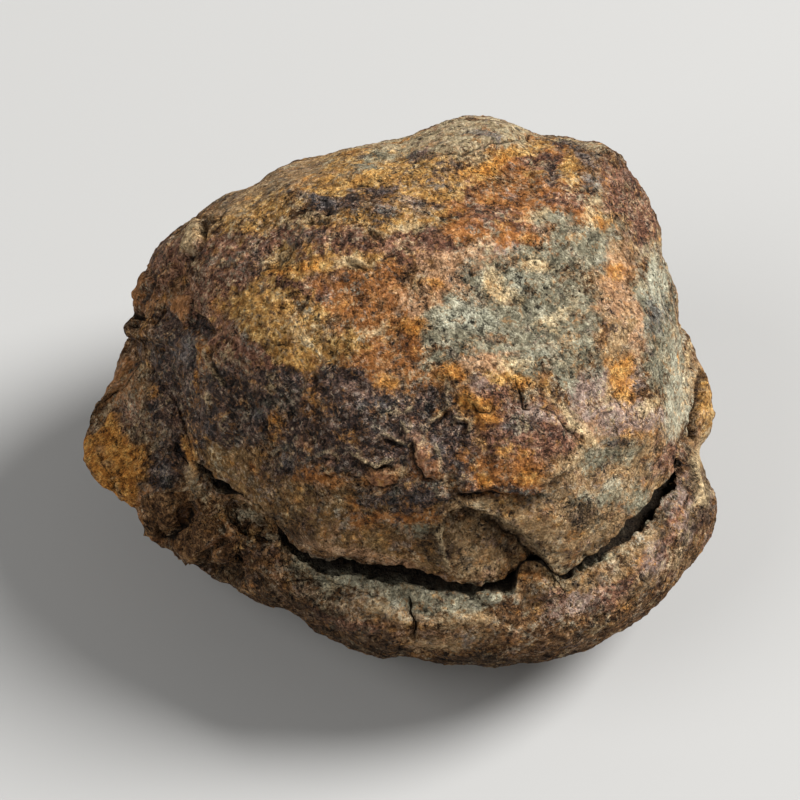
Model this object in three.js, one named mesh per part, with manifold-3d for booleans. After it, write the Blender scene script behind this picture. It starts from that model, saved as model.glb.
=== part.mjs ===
import * as THREE from 'three';
import { ImprovedNoise } from 'three/addons/math/ImprovedNoise.js';
import { mergeVertices } from 'three/addons/utils/BufferGeometryUtils.js';
import Module from 'manifold-3d';

// A fossil nodule: a rounded ironstone concretion that a blow has parted in two halves, the upper
// one seated again in the lower one. Millimetres, +Z up, the origin under the middle of the whole.
// It lies on a small flat spot, and its show side looks forwards (-Y) and up.

const wasm = await Module();
wasm.setup();

// ---- Driving dimensions, mm and degrees ----

const seamHeight = 20;          // the parting, above the surface that the nodule lies on
const seamGap = 0.4;            // open width of the parting deep inside the stone
const swell = { height: 0.8, length: 26 };      // slow waves of the parting surface
const partingRoughness = [[7, 0.45]];           // and its lumps, [size, height]
const skinDetail = 15;          // how finely a half's skin is divided
const edgeSectors = 60;         // and how finely the parting, round the edge
const skinRoughness = [[9, 0.35], [4.5, 0.25]]; // small lumps of the outside, [size, height]

// Plans are [degrees from +X, radius] about the half's own centre. Outlines are the same on the
// show face, about its middle, over the stretch where that half forms the nodule's outline.
const upperHalf = {
  centre: [1.8, 1.8],
  waist: seamHeight,            // height of its widest part
  rise: 24.6,
  drop: 12,
  plan: [
    [0, 27.2], [40, 26.6], [90, 26.4], [130, 27.4], [160, 28.2], [180, 25.6], [198, 24.2],
    [215, 24.7], [240, 25.4], [262, 25.3], [284, 27.3], [308, 28.4], [330, 28.4],
  ],
  outline: [
    [-10, 29], [-2, 28.6], [6, 28.3], [14, 28.4], [28, 29], [36, 30.1], [44, 31], [50, 31],
    [56, 30.1], [62, 28.6], [70, 28.1], [76, 27.4], [83, 25.7], [90, 24.7], [100, 24.6],
    [108, 24.4], [124, 24.7], [132, 25.5], [140, 26.7], [150, 27.6], [160, 28.1], [170, 27.4],
  ],
};
const lowerHalf = {
  centre: [0.3, -0.9],
  waist: 14,
  rise: 13,                     // how quickly it draws in above its waist
  drop: 14.6,
  plan: [
    [0, 31.4], [30, 29.8], [60, 28.8], [120, 28.6], [150, 28.2], [170, 28.6], [187, 31.2],
    [198, 29.4], [212, 26.6], [231, 25.2], [250, 26.4], [270, 27.6], [295, 29.6], [322, 31.8],
    [344, 32.6],
  ],
  outline: [
    [168, 27.4], [174, 27.9], [180, 29], [185, 30.6], [190, 31.6], [195, 31.1], [203, 29.4],
    [211, 28.8], [216, 27.2], [222, 26.5], [231, 24.9], [240, 24.9], [250, 25.7], [260, 26.4],
    [272, 26.2], [284, 27.6], [300, 30.6], [312, 31.8], [326, 33], [340, 33.1], [344, 31.9],
    [348.5, 30], [352, 30.4], [358, 30.6], [364, 29.9], [370, 29],
  ],
};

// What happens along the parting, all round: [degrees from +X, mm]
const seamOpening = [               // how far the upper half's worn edge is lifted off the lower
  [0, 0.2], [90, 0.3], [150, 0.3], [180, 0.1], [200, 0.1], [208, 0.6], [218, 1.3], [230, 1],
  [242, 0.3], [262, 0.5], [280, 0.8], [293, 1.4], [302, 0.5], [320, 1], [336, 1], [348, 0.4],
];
const ledgeStep = [                 // drop from the parting to the ledge beside it
  [0, 0.3], [90, 0.2], [180, 0], [205, 0.1], [225, 0.6], [250, 0.5], [285, 0.5], [302, 0], [335, -0.3],
];
const ledgeFall = [                 // how far the ledge falls for each mm outwards
  [0, 0.1], [90, 0.1], [165, 0.3], [190, 0.4], [205, 0.4], [235, 0.4], [270, 0.45], [300, 0.3], [335, 0.05],
];
const ledgeCurve = 0.02;            // and how quickly that gets steeper

// The show side is seen from a point in front and above. On its face u runs to the right and v up.
const show = {
  elevation: THREE.MathUtils.degToRad(50),
  distance: 328,
  centre: new THREE.Vector3(0.3, -4.15, 24.7),
};
const faceUp = new THREE.Vector3(0, Math.sin(show.elevation), Math.cos(show.elevation));
const faceOut = new THREE.Vector3(0, -Math.cos(show.elevation), Math.sin(show.elevation));

// Forms that stand out of the show side or are sunk in it: place on the face, half sizes, turn in
// degrees, height, and the share of the form that is level before its edge falls away.
const upperForms = [
  { what: 'crown', at: [7.8, 24.6], half: [7, 3], turn: 5, height: 0.8, level: 0.2 },
  { what: 'hollow under the crown', at: [9, 20.6], half: [10, 3.4], turn: 8, height: -0.6, level: 0.2 },
  { what: 'knob', at: [20, 23], half: [3.2, 2.6], turn: -30, height: 0.7, level: 0.2 },
  { what: 'grey hollow', at: [12.5, 9], half: [11, 8.5], turn: 15, height: -1.2, level: 0.3 },
  { what: 'ridge', at: [23.8, 6], half: [2.4, 15], turn: -4, height: 0.9, level: 0 },
  { what: 'ochre swelling', at: [-12, 7], half: [8, 6], turn: 20, height: 0.6, level: 0.2 },
  { what: 'dark crust', at: [-1, -5], half: [9, 6.5], turn: -8, height: 0.6, level: 0.5 },
  { what: 'plate', at: [12.2, -5.2], half: [6.6, 4.8], turn: 10, height: 0.8, level: 0.7 },
  { what: 'hollow over the brow', at: [-13, -7.5], half: [8, 4], turn: -38, height: -0.7, level: 0.2 },
  { what: 'brow', at: [-5.5, -14.6], half: [6, 1.8], turn: -12, height: 0.5, level: 0.2 },
  { what: 'right cheek', at: [21, -8.5], half: [7, 5], turn: 40, height: -0.6, level: 0.2 },
  { what: 'left flakes', at: [-21.5, 9], half: [3.4, 8], turn: -15, height: -0.5, level: 0 },
];
const lowerForms = [
  { what: 'left nose', at: [-27, -6], half: [5, 5], turn: 0, height: 0.7, level: 0.4 },
  { what: 'groove', at: [-21.3, -12.6], half: [5.2, 2.2], turn: 34, height: -1.5, level: 0 },
  { what: 'block', at: [-17, -14], half: [3.4, 2.6], turn: -30, height: 0.7, level: 0.5 },
  { what: 'broken underside', at: [-17.8, -17.6], half: [3.6, 1.6], turn: -20, height: -1.2, level: 0.4 },
  { what: 'hidden recess', at: [-8, -24], half: [7, 2.6], turn: -28, height: -1, level: 0.3 },
  { what: 'ledge swelling', at: [2, -21.5], half: [6, 2], turn: -5, height: 0.5, level: 0.3 },
  { what: 'seam lump', at: [13.9, -19.4], half: [1.9, 1.6], turn: 20, height: 0.9, level: 0.3 },
  { what: 'right lip', at: [23, -17], half: [7, 3], turn: 40, height: 0.5, level: 0.3 },
  { what: 'right bulge', at: [29.3, -0.5], half: [2.6, 5], turn: 0, height: 0.5, level: 0.3 },
];

// Chips broken out of the upper half: centre, half sizes and turns about X, Y and Z in degrees
const scallop = { at: [8.9, -24.6, 24.4], half: [6.4, 2.4, 3.9], turn: [-8, 34, 8] };
const notch = { at: [13.1, -24, 20.9], half: [2.1, 1.8, 1.3], turn: [0, -25, 10] };
const pocket = { at: [-26.6, 3.9, 23.8], half: [1.1, 1.4, 1.4], turn: [0, 0, 0] };

// Flake that still stands off the left flank over the pocket
const flake = { at: [-26.9, 5.3, 25], half: [0.8, 1.7, 2.6], turn: [10, 22, 0] };

// ---- Reading the lists ----

// The pair at an index; a closed list goes on round and round, an open one stays at its ends.
function knot(pairs, closed, index) {
  if (!closed) return pairs[THREE.MathUtils.clamp(index, 0, pairs.length - 1)];
  const laps = Math.floor(index / pairs.length);
  const [angle, value] = pairs[index - laps * pairs.length];
  return [angle + 360 * laps, value];
}

// Value at an angle, on a smooth curve through the pairs.
function curveAt(pairs, closed, angle) {
  let index = 0;
  while (index < pairs.length - (closed ? 1 : 2) && knot(pairs, closed, index + 1)[0] <= angle) index += 1;
  const [before, start, end, after] = [-1, 0, 1, 2].map((step) => knot(pairs, closed, index + step));
  const span = end[0] - start[0];
  const t = (angle - start[0]) / span;
  const leave = ((end[1] - before[1]) / (end[0] - before[0])) * span;
  const arrive = ((after[1] - start[1]) / (after[0] - start[0])) * span;
  const rise = end[1] - start[1];
  return start[1] + t * (leave + t * (3 * rise - 2 * leave - arrive + t * (leave + arrive - 2 * rise)));
}

function allRound(pairs, degrees) {
  return curveAt(pairs, true, pairs[0][0] + THREE.MathUtils.euclideanModulo(degrees - pairs[0][0], 360));
}

const degreesOf = (x, y) => THREE.MathUtils.radToDeg(Math.atan2(y, x));

// ---- Skin of a half ----

// Plan outline, rounded over above the waist and under below it.
function bodyPoint(half, direction) {
  const radius = allRound(half.plan, degreesOf(direction.x, direction.y));
  return new THREE.Vector3(
    half.centre[0] + radius * direction.x,
    half.centre[1] + radius * direction.y,
    half.waist + (direction.z < 0 ? half.drop : half.rise) * direction.z,
  );
}

function toFace(point) {
  const offset = point.clone().sub(show.centre);
  const scale = show.distance / (show.distance - offset.dot(faceOut));
  return { u: offset.x * scale, v: offset.dot(faceUp) * scale, scale };
}

// How far the visible part of a half reaches on the show face before it is fitted to its outline.
function measureReach(half, side) {
  const step = 6;
  const reach = new Array(360 / step).fill(0);
  for (let azimuth = 0; azimuth < 360; azimuth += 1) {
    for (let latitude = 0; latitude < 90; latitude += 1) {
      const level = Math.cos(THREE.MathUtils.degToRad(latitude));
      const direction = new THREE.Vector3(
        level * Math.cos(THREE.MathUtils.degToRad(azimuth)),
        level * Math.sin(THREE.MathUtils.degToRad(azimuth)),
        side * Math.sin(THREE.MathUtils.degToRad(latitude)),
      );
      const { u, v } = toFace(bodyPoint(half, direction));
      const slot = Math.floor(THREE.MathUtils.euclideanModulo(degreesOf(u, v), 360) / step);
      reach[slot] = Math.max(reach[slot], Math.hypot(u, v));
    }
  }
  return reach.map((radius, slot) => [(slot + 0.5) * step, radius]);
}

// Ease a point outwards or inwards on the show face, so that the half meets its outline there.
function fitOutline(half, reach, point) {
  const fade = 14;
  const { u, v, scale } = toFace(point);
  const first = half.outline[0][0];
  const last = half.outline[half.outline.length - 1][0];
  const middle = (first + last) / 2;
  const angle = middle - 180 + THREE.MathUtils.euclideanModulo(degreesOf(u, v) - middle + 180, 360);
  const beyond = Math.max(first - angle, angle - last, 0);
  const held = THREE.MathUtils.clamp(angle, first, last);
  const plain = allRound(reach, angle);
  const wanted = curveAt(half.outline, false, held) / allRound(reach, held);
  const share = Math.min(Math.hypot(u, v) / plain, 1) ** 3 * (1 - THREE.MathUtils.smoothstep(beyond, 0, fade));
  const change = (wanted - 1) * share;
  point.x += (u * change) / scale;
  point.addScaledVector(faceUp, (v * change) / scale);
}

// Height of the listed forms at a place on the show face.
function formHeight(forms, u, v) {
  let height = 0;
  for (const form of forms) {
    const turn = THREE.MathUtils.degToRad(form.turn);
    const du = u - form.at[0];
    const dv = v - form.at[1];
    const along = (du * Math.cos(turn) + dv * Math.sin(turn)) / form.half[0];
    const across = (dv * Math.cos(turn) - du * Math.sin(turn)) / form.half[1];
    height += form.height * (1 - THREE.MathUtils.smoothstep(Math.hypot(along, across), form.level, 1));
  }
  return height;
}

const noise = new ImprovedNoise();
function lumps(sizes, x, y, z) {
  return sizes.reduce((sum, [size, height]) => sum + height * 2 * noise.noise(x / size, y / size, z / size), 0);
}

function toSolid(geometry) {
  const bare = geometry.clone();
  bare.deleteAttribute('normal');
  bare.deleteAttribute('uv');
  const merged = mergeVertices(bare, 1e-4);
  return new wasm.Manifold(new wasm.Mesh({
    numProp: 3,
    vertProperties: new Float32Array(merged.attributes.position.array),
    triVerts: new Uint32Array(merged.index.array),
  }));
}

function makeSkin(half, side, forms) {
  const reach = measureReach(half, side);
  const geometry = new THREE.IcosahedronGeometry(1, skinDetail);
  const position = geometry.attributes.position;
  const direction = new THREE.Vector3();
  for (let i = 0; i < position.count; i += 1) {
    direction.fromBufferAttribute(position, i).normalize();
    const point = bodyPoint(half, direction);
    fitOutline(half, reach, point);
    const { u, v } = toFace(point);
    const shown = THREE.MathUtils.smoothstep(direction.dot(faceOut), -0.15, 0.25);
    const height = formHeight(forms, u, v) * shown + lumps(skinRoughness, point.x, point.y, point.z);
    point.addScaledVector(direction, height);
    position.setXYZ(i, point.x, point.y, point.z);
  }
  return toSolid(geometry);
}

// ---- Parting ----

const deepInside = -30;         // the middle of the parting, as an offset from the edge
const partingRings = [-18, -9, -4.5, -2, -0.8, 0, 0.8];

// All the space above a surface that starts at the middle of the parting and runs out over rings
// at the given offsets from the upper half's edge.
function spaceAbove(offsets, heightAt) {
  const lid = 60;
  const spokes = [deepInside, ...offsets];
  const profile = spokes.map((offset, ring) => new THREE.Vector2(ring, 0));
  profile.push(new THREE.Vector2(offsets.length, lid), new THREE.Vector2(0, lid));
  const geometry = new THREE.LatheGeometry(profile, edgeSectors);
  geometry.rotateX(Math.PI / 2);
  const position = geometry.attributes.position;
  for (let i = 0; i < position.count; i += 1) {
    const ring = Math.round(Math.hypot(position.getX(i), position.getY(i)));
    const angle = degreesOf(position.getX(i), position.getY(i));
    const radius = ring > 0 ? allRound(upperHalf.plan, angle) + spokes[ring] : 0;
    const x = upperHalf.centre[0] + radius * Math.cos(THREE.MathUtils.degToRad(angle));
    const y = upperHalf.centre[1] + radius * Math.sin(THREE.MathUtils.degToRad(angle));
    const height = position.getZ(i) < lid / 2 ? partingHeight(x, y) + heightAt(x, y, angle, spokes[ring]) : lid;
    position.setXYZ(i, x, y, height);
  }
  return toSolid(geometry);
}

function partingHeight(x, y) {
  const turn = (2 * Math.PI) / swell.length;
  const wave = swell.height * Math.sin(x * turn + 1) * Math.cos(y * turn);
  return seamHeight + wave + lumps(partingRoughness, x, y, seamHeight);
}

// Underside of the upper half, above the parting: its worn edge is lifted.
function underUpperHalf(x, y, angle, offset) {
  return seamGap + allRound(seamOpening, angle) * THREE.MathUtils.smoothstep(offset, -5, 0);
}

// Top of the lower half, above the parting: a rough ledge, lower towards the outside.
function overLowerHalf(x, y, angle, offset) {
  const outside = Math.max(offset, 0);
  const step = allRound(ledgeStep, angle) * THREE.MathUtils.smoothstep(offset, -1, 0.8);
  const rough = lumps(skinRoughness, x, y, seamHeight) * THREE.MathUtils.smoothstep(outside, 0.5, 2);
  return rough - step - outside * (allRound(ledgeFall, angle) + ledgeCurve * outside);
}

// ---- Chips ----

function makeLump({ at, half, turn }) {
  const geometry = new THREE.IcosahedronGeometry(1, 3);
  geometry.scale(...half);
  geometry.rotateX(THREE.MathUtils.degToRad(turn[0]));
  geometry.rotateY(THREE.MathUtils.degToRad(turn[1]));
  geometry.rotateZ(THREE.MathUtils.degToRad(turn[2]));
  geometry.translate(...at);
  return toSolid(geometry);
}

// ---- The two halves ----

function toMesh(solid, name, material) {
  const { vertProperties, triVerts } = solid.getMesh();
  const geometry = new THREE.BufferGeometry();
  geometry.setAttribute('position', new THREE.BufferAttribute(vertProperties, 3));
  geometry.setIndex(new THREE.BufferAttribute(triVerts, 1));
  geometry.computeVertexNormals();
  const mesh = new THREE.Mesh(geometry, material);
  mesh.name = name;
  return mesh;
}

function makeFloor() {
  const floor = new THREE.BoxGeometry(80, 80, 20);
  floor.translate(0, 0, -10);
  return toSolid(floor);
}

function makeUpperHalf() {
  return makeSkin(upperHalf, 1, upperForms)
    .add(makeLump(flake))
    .intersect(spaceAbove([...partingRings, 12], underUpperHalf))
    .subtract(makeLump(scallop))
    .subtract(makeLump(notch))
    .subtract(makeLump(pocket));
}

function makeLowerHalf() {
  return makeSkin(lowerHalf, -1, lowerForms)
    .subtract(spaceAbove([...partingRings, 1.8, 3.5, 6, 9, 14], overLowerHalf))
    .subtract(makeFloor());
}

const rustStone = new THREE.MeshStandardMaterial({ color: 0x8b6540, roughness: 0.85, metalness: 0 });
const mudStone = new THREE.MeshStandardMaterial({ color: 0x6b5238, roughness: 0.9, metalness: 0 });

const nodule = new THREE.Group();
nodule.add(toMesh(makeUpperHalf(), 'upper_half', rustStone));
nodule.add(toMesh(makeLowerHalf(), 'lower_half', mudStone));

export default nodule;
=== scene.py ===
import math

import bmesh
import bpy
import numpy as np
from mathutils import Euler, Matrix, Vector, noise


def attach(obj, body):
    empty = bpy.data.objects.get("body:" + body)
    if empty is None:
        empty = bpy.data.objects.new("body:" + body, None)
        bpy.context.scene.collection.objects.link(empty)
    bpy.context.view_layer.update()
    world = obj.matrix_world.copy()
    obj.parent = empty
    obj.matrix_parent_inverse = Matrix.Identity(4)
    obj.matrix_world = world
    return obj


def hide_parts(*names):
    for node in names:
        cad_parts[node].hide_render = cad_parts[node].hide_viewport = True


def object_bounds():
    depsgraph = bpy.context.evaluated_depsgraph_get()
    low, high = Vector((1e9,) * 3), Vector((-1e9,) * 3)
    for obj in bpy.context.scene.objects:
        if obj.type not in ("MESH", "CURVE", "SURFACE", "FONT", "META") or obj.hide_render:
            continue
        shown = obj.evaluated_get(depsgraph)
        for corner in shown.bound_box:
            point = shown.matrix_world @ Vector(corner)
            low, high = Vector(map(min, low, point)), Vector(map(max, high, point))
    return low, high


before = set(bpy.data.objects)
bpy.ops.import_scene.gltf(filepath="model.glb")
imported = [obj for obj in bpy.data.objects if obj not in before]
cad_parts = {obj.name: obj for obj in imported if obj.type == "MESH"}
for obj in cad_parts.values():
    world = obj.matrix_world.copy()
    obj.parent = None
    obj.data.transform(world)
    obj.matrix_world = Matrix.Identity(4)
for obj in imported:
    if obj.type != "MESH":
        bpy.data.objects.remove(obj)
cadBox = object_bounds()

mm = 0.001

# The show side is seen from in front and above; on its face u runs right and v up, in mm
show = {
    "elevation": 50,           # degrees
    "distance": 328,
    "centre": (0.3, -4.15, 24.7),
    "width": 77.84,            # how much of the face the camera takes in
    "offCentre": (-0.2, -0.95),
    "facing": (-0.15, 0.25),   # how far a surface has to turn to the camera for the broad forms
    "facingFine": (-0.05, 0.2),
}

lift = math.radians(show["elevation"])
faceCentre = np.array(show["centre"])
faceUp = np.array((0.0, math.sin(lift), math.cos(lift)))
faceOut = np.array((0.0, -math.cos(lift), math.sin(lift)))


def smooth(value, low, high):
    t = np.clip((value - low) / (high - low), 0, 1)
    return t * t * (3 - 2 * t)


def curve(pairs, at, closed=True):
    # smooth curve through (degrees, value) pairs
    knots = np.array(pairs, float)
    if closed:
        at = knots[0, 0] + np.mod(at - knots[0, 0], 360)
        knots = np.vstack((knots[-2:] - (360, 0), knots, knots[:2] + (360, 0)))
    x, y = knots.T
    slope = np.empty_like(x)
    slope[1:-1] = (y[2:] - y[:-2]) / (x[2:] - x[:-2])
    slope[0] = (y[1] - y[0]) / (x[1] - x[0])
    slope[-1] = (y[-1] - y[-2]) / (x[-1] - x[-2])
    i = np.clip(np.searchsorted(x, at, "right") - 1, 0, len(x) - 2)
    span = x[i + 1] - x[i]
    t = (at - x[i]) / span
    leave = slope[i] * span
    arrive = slope[i + 1] * span
    rise = y[i + 1] - y[i]
    return y[i] + t * (leave + t * (3 * rise - 2 * leave - arrive + t * (leave + arrive - 2 * rise)))


def degreesOf(x, y):
    return np.degrees(np.arctan2(y, x))


def softNoise(points, size, seed=0.0):
    shift = Vector((seed, seed * 0.7, -seed))
    return np.array([noise.noise(Vector(p) / size + shift, noise_basis="PERLIN_NEW") for p in points])


def roughNoise(points, size, seed=0.0, octaves=4):
    shift = Vector((seed, seed * 0.7, -seed))
    return np.array([noise.fractal(Vector(p) / size + shift, 0.8, 2.1, octaves) for p in points])


def facets(points, size, seed=0.0):
    # small tilted faces with steps between them, as broken stone has
    shift = Vector((seed, -seed, seed * 0.3))
    tiltSpread = 7.3
    height = []
    for p in points:
        place = Vector(p) / size + shift
        cell = noise.voronoi(place)[1][0]
        height.append((place - cell).dot(noise.cell_vector(cell * tiltSpread)) - 0.5)
    return np.array(height)


def grains(points, size, seed=0.0):
    # round grains, 1 at the middle of each
    shift = Vector((seed, -seed, seed * 0.3))
    steepness = 1.6
    return np.array([1 - steepness * noise.voronoi(Vector(p) / size + shift)[0][0] for p in points])


def lumps(sizes, points):
    # natural lumps: one noise of each (size, height)
    return sum(2 * height * softNoise(points, size) for size, height in sizes)


def toFace(points):
    offset = points - faceCentre
    scale = show["distance"] / (show["distance"] - offset @ faceOut)
    return offset[:, 0] * scale, (offset @ faceUp) * scale, scale


# Sizes of the whole stone, mm, as its solids have them
stone = {
    "seamHeight": 20,
    "seamGap": 0.4,
    "swellHeight": 0.8,
    "swellLength": 26,
    "partingLumps": ((7, 0.45),),
    "skinLumps": ((9, 0.35), (4.5, 0.25)),
    "outlineFade": 14,         # degrees
    "ledgeCurve": 0.02,
    "ballSteps": 8,
}

# Along the parting, by degrees round the upper half: how far its edge is lifted, how much lower the
# ledge lies, how deep the cleft under the edge is, how fast the ledge falls outwards, and how high its
# crust climbs the wall
seam = {
    "opening": (
        (0, 0.2), (90, 0.3), (150, 0.2), (180, 0), (205, 0), (209, 0.9), (214, 2.2), (220, 2.4), (225, 1.9),
        (232, 1.8), (238, 1.5), (246, 0.9), (256, 0.7), (268, 0.8), (275, 0.2), (282, 0.4), (288, 0.8),
        (291, 1.5), (293.5, 2.6), (295.5, 2.8), (297, 1.9), (298.5, 0.3), (303, 0.1), (308, 0.2), (311, 0.6),
        (315, 1.6), (322, 2.1), (330, 2.4), (336, 2.2), (342, 1.5), (350, 0.5),
    ),
    "drop": (
        (0, 0), (180, 0), (205, 0), (209, -0.7), (214, -1.7), (220, -1.6), (224, -1.6), (234, -1.5),
        (240, -0.6),
        (248, 0.3), (256, 0.6), (280, 0.6), (286, 0), (298, 0), (322, 0), (330, -0.8), (336, -1.2), (342, -1),
        (350, -0.4),
    ),
    "cleft": (
        (0, 0.5), (90, 0.5), (150, 0), (205, 0), (209, 0.2), (214, 0.4), (219, 0.9), (222, 0.4), (226, 0.1),
        (234, 0.1), (240, 0.6), (250, 0.8), (282, 0.8), (287, 0.2), (297, 0.2), (300, 0.1), (308, 0.2),
        (316, 2), (332, 2), (342, 1), (350, 0.5),
    ),
    "fall": (
        (0, 0.1), (90, 0.1), (165, 0.3), (190, 0.4), (205, 0.4), (235, 0.45), (270, 0.5),
        (300, 0.35), (335, 0.1),
    ),
    "fillet": (
        (0, 0), (110, 0), (135, 1.6), (155, 3.4), (170, 4), (185, 4), (198, 3.2), (205, 1.6),
        (210, 0.2), (214, 0), (300, 0),
    ),
    "filletLean": 0.16,        # how far the fillet leans in under the wall
    # mm beyond the edge over which each of them comes and goes
    "openingRun": (-5, 0),
    "crustRun": (0.5, 2),
    "dropRun": (-3, -0.4),
    "cleftIn": (-3.4, -2),
    "cleftOut": (-0.6, 0.2),
    "filletWall": 0.45,
    "filletFoot": (0.5, 6),
    "lumpRun": (0.55, 1),      # share of a lump's radius
    # lumps on the ledge: degrees, mm beyond the edge, half sizes of both, height
    "lumps": ((293.9, 0.2, 5, 2.9, 3), (287, 1.1, 3.2, 0.9, 1)),
    # how softly the painted shade under the edge ends
    "shadeAndDirt": ((0, 0.6), (225, 0.5), (236, 0.7), (248, 0.9), (284, 0.9), (291, 0.4), (300, 0.4), (350, 0.6)),
    "ragged": ((1.7, 0.35), (0.8, 0.2)),
    "nibbles": ((1.5, 0.7), (0.7, 0.35)),      # bits broken off the edge of the upper half: size, how deep
    "upperRings": (0.12, 0.3, 0.6, 1, 1.6, 2.4, 3.6, 5.5, 9, 14, 20),
    "rimMargin": 0.3,
    "ledgeRings": 10,          # from the rim to the first of the fine ones
    "fineRings": (1.1, 0.8, 0.55, 0.4, 0.28, 0.18, 0.08, -0.05, -0.3, -0.9, -1.8),
    "lowerRings": (5, 13),
}

# The upper half: a dome, in plan round its own centre and on the show face where it forms the outline
upperHalf = {
    "node": "upper_half",
    "slot": "rust_crust",
    "side": 1,
    "centre": (1.8, 1.8),
    "waist": 20,
    "rise": 24.6,
    "drop": 12,
    "plan": (
        (0, 27.2), (40, 26.6), (90, 26.4), (130, 27.4), (160, 28.2), (180, 25.6), (198, 24.2),
        (215, 24.3), (232, 24.4), (245, 25), (262, 25.3), (284, 27.4), (308, 28.6), (330, 28.2),
    ),
    "outline": (
        (-10, 29), (-2, 28.6), (6, 28.3), (14, 28.4), (28, 29), (36, 30.1), (44, 31), (50, 31),
        (56, 30.1), (62, 28.5), (70, 27.8), (76, 27), (83, 25.5), (90, 24.6), (100, 24.4),
        (108, 24.2), (124, 24.5), (132, 25.2), (140, 26.2), (150, 27.1), (160, 27.4), (164, 27.5),
        (166.4, 28.3), (168, 28), (169, 27), (171, 26.8),
    ),
    # broad forms on the show face: place, half sizes, turn, height, level share
    "forms": (
        ((7.8, 24.6), (7, 3), 5, 0.8, 0.2),            # crown
        ((9, 20.6), (10, 3.4), 8, -0.6, 0.2),          # hollow under it
        ((20, 23), (3.2, 2.6), -30, 0.7, 0.2),         # knob
        ((12.5, 9), (11, 8.5), 15, -1.2, 0.3),         # grey hollow
        ((23.8, 6), (2.4, 15), -4, 0.9, 0),            # ridge
        ((-12, 7), (8, 6), 20, 0.6, 0.2),              # ochre swelling
        ((-1, -5), (9, 6.5), -8, 0.6, 0.3),            # dark crust
        ((12.2, -5.2), (7.5, 5.6), 10, 0.6, 0.2),      # plate
        ((-13, -7.5), (8, 4), -38, -0.7, 0.2),         # hollow over the brow
        ((-5.5, -14.6), (6, 1.8), -12, 0.5, 0.2),      # brow
        ((21, -8.5), (7, 5), 40, -0.6, 0.2),           # right cheek
        ((-21.5, 9), (3.4, 8), -15, -0.5, 0),          # left flakes
    ),
    # flaked off the skin: how deep at the wall, how far until it runs out, the wall, the rest of the edge
    "scars": (
        (2.1, 8, ((16, -19), (14.4, -17), (13.5, -15.3), (11.9, -13.8), (9.6, -12.4), (8.2, -11.7)),
         ((6.6, -11.3), (5.2, -11.6), (4.4, -12.4), (4, -14), (4.4, -15.6), (5, -17.3), (5.6, -20))),
    ),
    # scooped out of the skin or grown on it: place, half sizes, turn round x, y, z; in (-1) or out (1)
    "bites": (
        ((-26.9, 5.3, 25), (0.8, 1.7, 2.6), (10, 22, 0), 1),         # spur beside the pocket
    ),
    "edgeRounding": 1,
}

# The lower half: a wider cup whose top shows as a ledge along the front
lowerHalf = {
    "node": "lower_half",
    "slot": "brown_crust",
    "side": -1,
    "centre": (0.3, -0.9),
    "waist": 14,
    "rise": 13,
    "drop": 14.6,
    "plan": (
        (0, 31.4), (30, 29.8), (60, 28.8), (120, 28.6), (150, 28.2), (170, 28.6), (187, 31.2),
        (198, 29.4), (212, 26.6), (231, 25.2), (250, 26.4), (270, 27.6), (295, 29.6), (322, 31.8),
        (344, 32.6),
    ),
    "outline": (
        (168, 26.6), (174, 27.4), (180, 28.9), (185, 30.6), (190, 31.5), (195, 30.7), (203, 28.8),
        (211, 28.6), (216, 27.2), (222, 26.5), (231, 24.9), (240, 24.9), (250, 25.7), (260, 26.4),
        (272, 26.2), (284, 27.6), (300, 30.6), (312, 31.8), (326, 33), (340, 33.1), (344, 31.9),
        (348.5, 30), (352, 30.4), (358, 30.6), (364, 29.9), (370, 29),
    ),
    "forms": (
        ((-27, -6), (5, 5), 0, 0.7, 0.4),              # left nose
        ((-21.3, -12.6), (5.2, 2.2), 34, -1.5, 0),     # groove
        ((-17, -14), (3.4, 2.6), -30, 0.7, 0.5),       # block
        ((-17.8, -17.6), (3.6, 1.6), -20, -1.2, 0.4),  # broken underside
        ((-8, -24), (7, 2.6), -28, -1, 0.3),           # hidden recess
        ((2, -21.5), (6, 2), -5, 0.5, 0.3),            # ledge swelling
        ((13.9, -19.4), (1.9, 1.6), 20, 0.9, 0.3),     # seam lump
        ((23, -17), (7, 3), 40, 0.5, 0.3),             # right lip
        ((29.3, -0.5), (2.6, 5), 0, 0.5, 0.3),         # right bulge
    ),
    "scars": (),
    "bites": (),
    "edgeRounding": 8,
}


def bodyPoints(half, direction):
    radius = curve(half["plan"], degreesOf(direction[:, 0], direction[:, 1]))
    reach = np.where(direction[:, 2] < 0, half["drop"], half["rise"])
    return np.column_stack((
        half["centre"][0] + radius * direction[:, 0],
        half["centre"][1] + radius * direction[:, 1],
        half["waist"] + reach * direction[:, 2],
    ))


def directions(azimuth, latitude):
    level = np.cos(latitude)
    return np.column_stack((level * np.cos(azimuth), level * np.sin(azimuth), np.sin(latitude)))


def measureReach(half):
    # how far the half reaches on the show face before it is fitted to its outline
    step = 6
    azimuth, latitude = np.meshgrid(np.radians(np.arange(360)), np.radians(np.arange(90)) * half["side"])
    u, v, scale = toFace(bodyPoints(half, directions(azimuth.ravel(), latitude.ravel())))
    place = (np.mod(degreesOf(u, v), 360) // step).astype(int)
    reach = np.zeros(360 // step)
    np.maximum.at(reach, place, np.hypot(u, v))
    return [((i + 0.5) * step, radius) for i, radius in enumerate(reach)]


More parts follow.
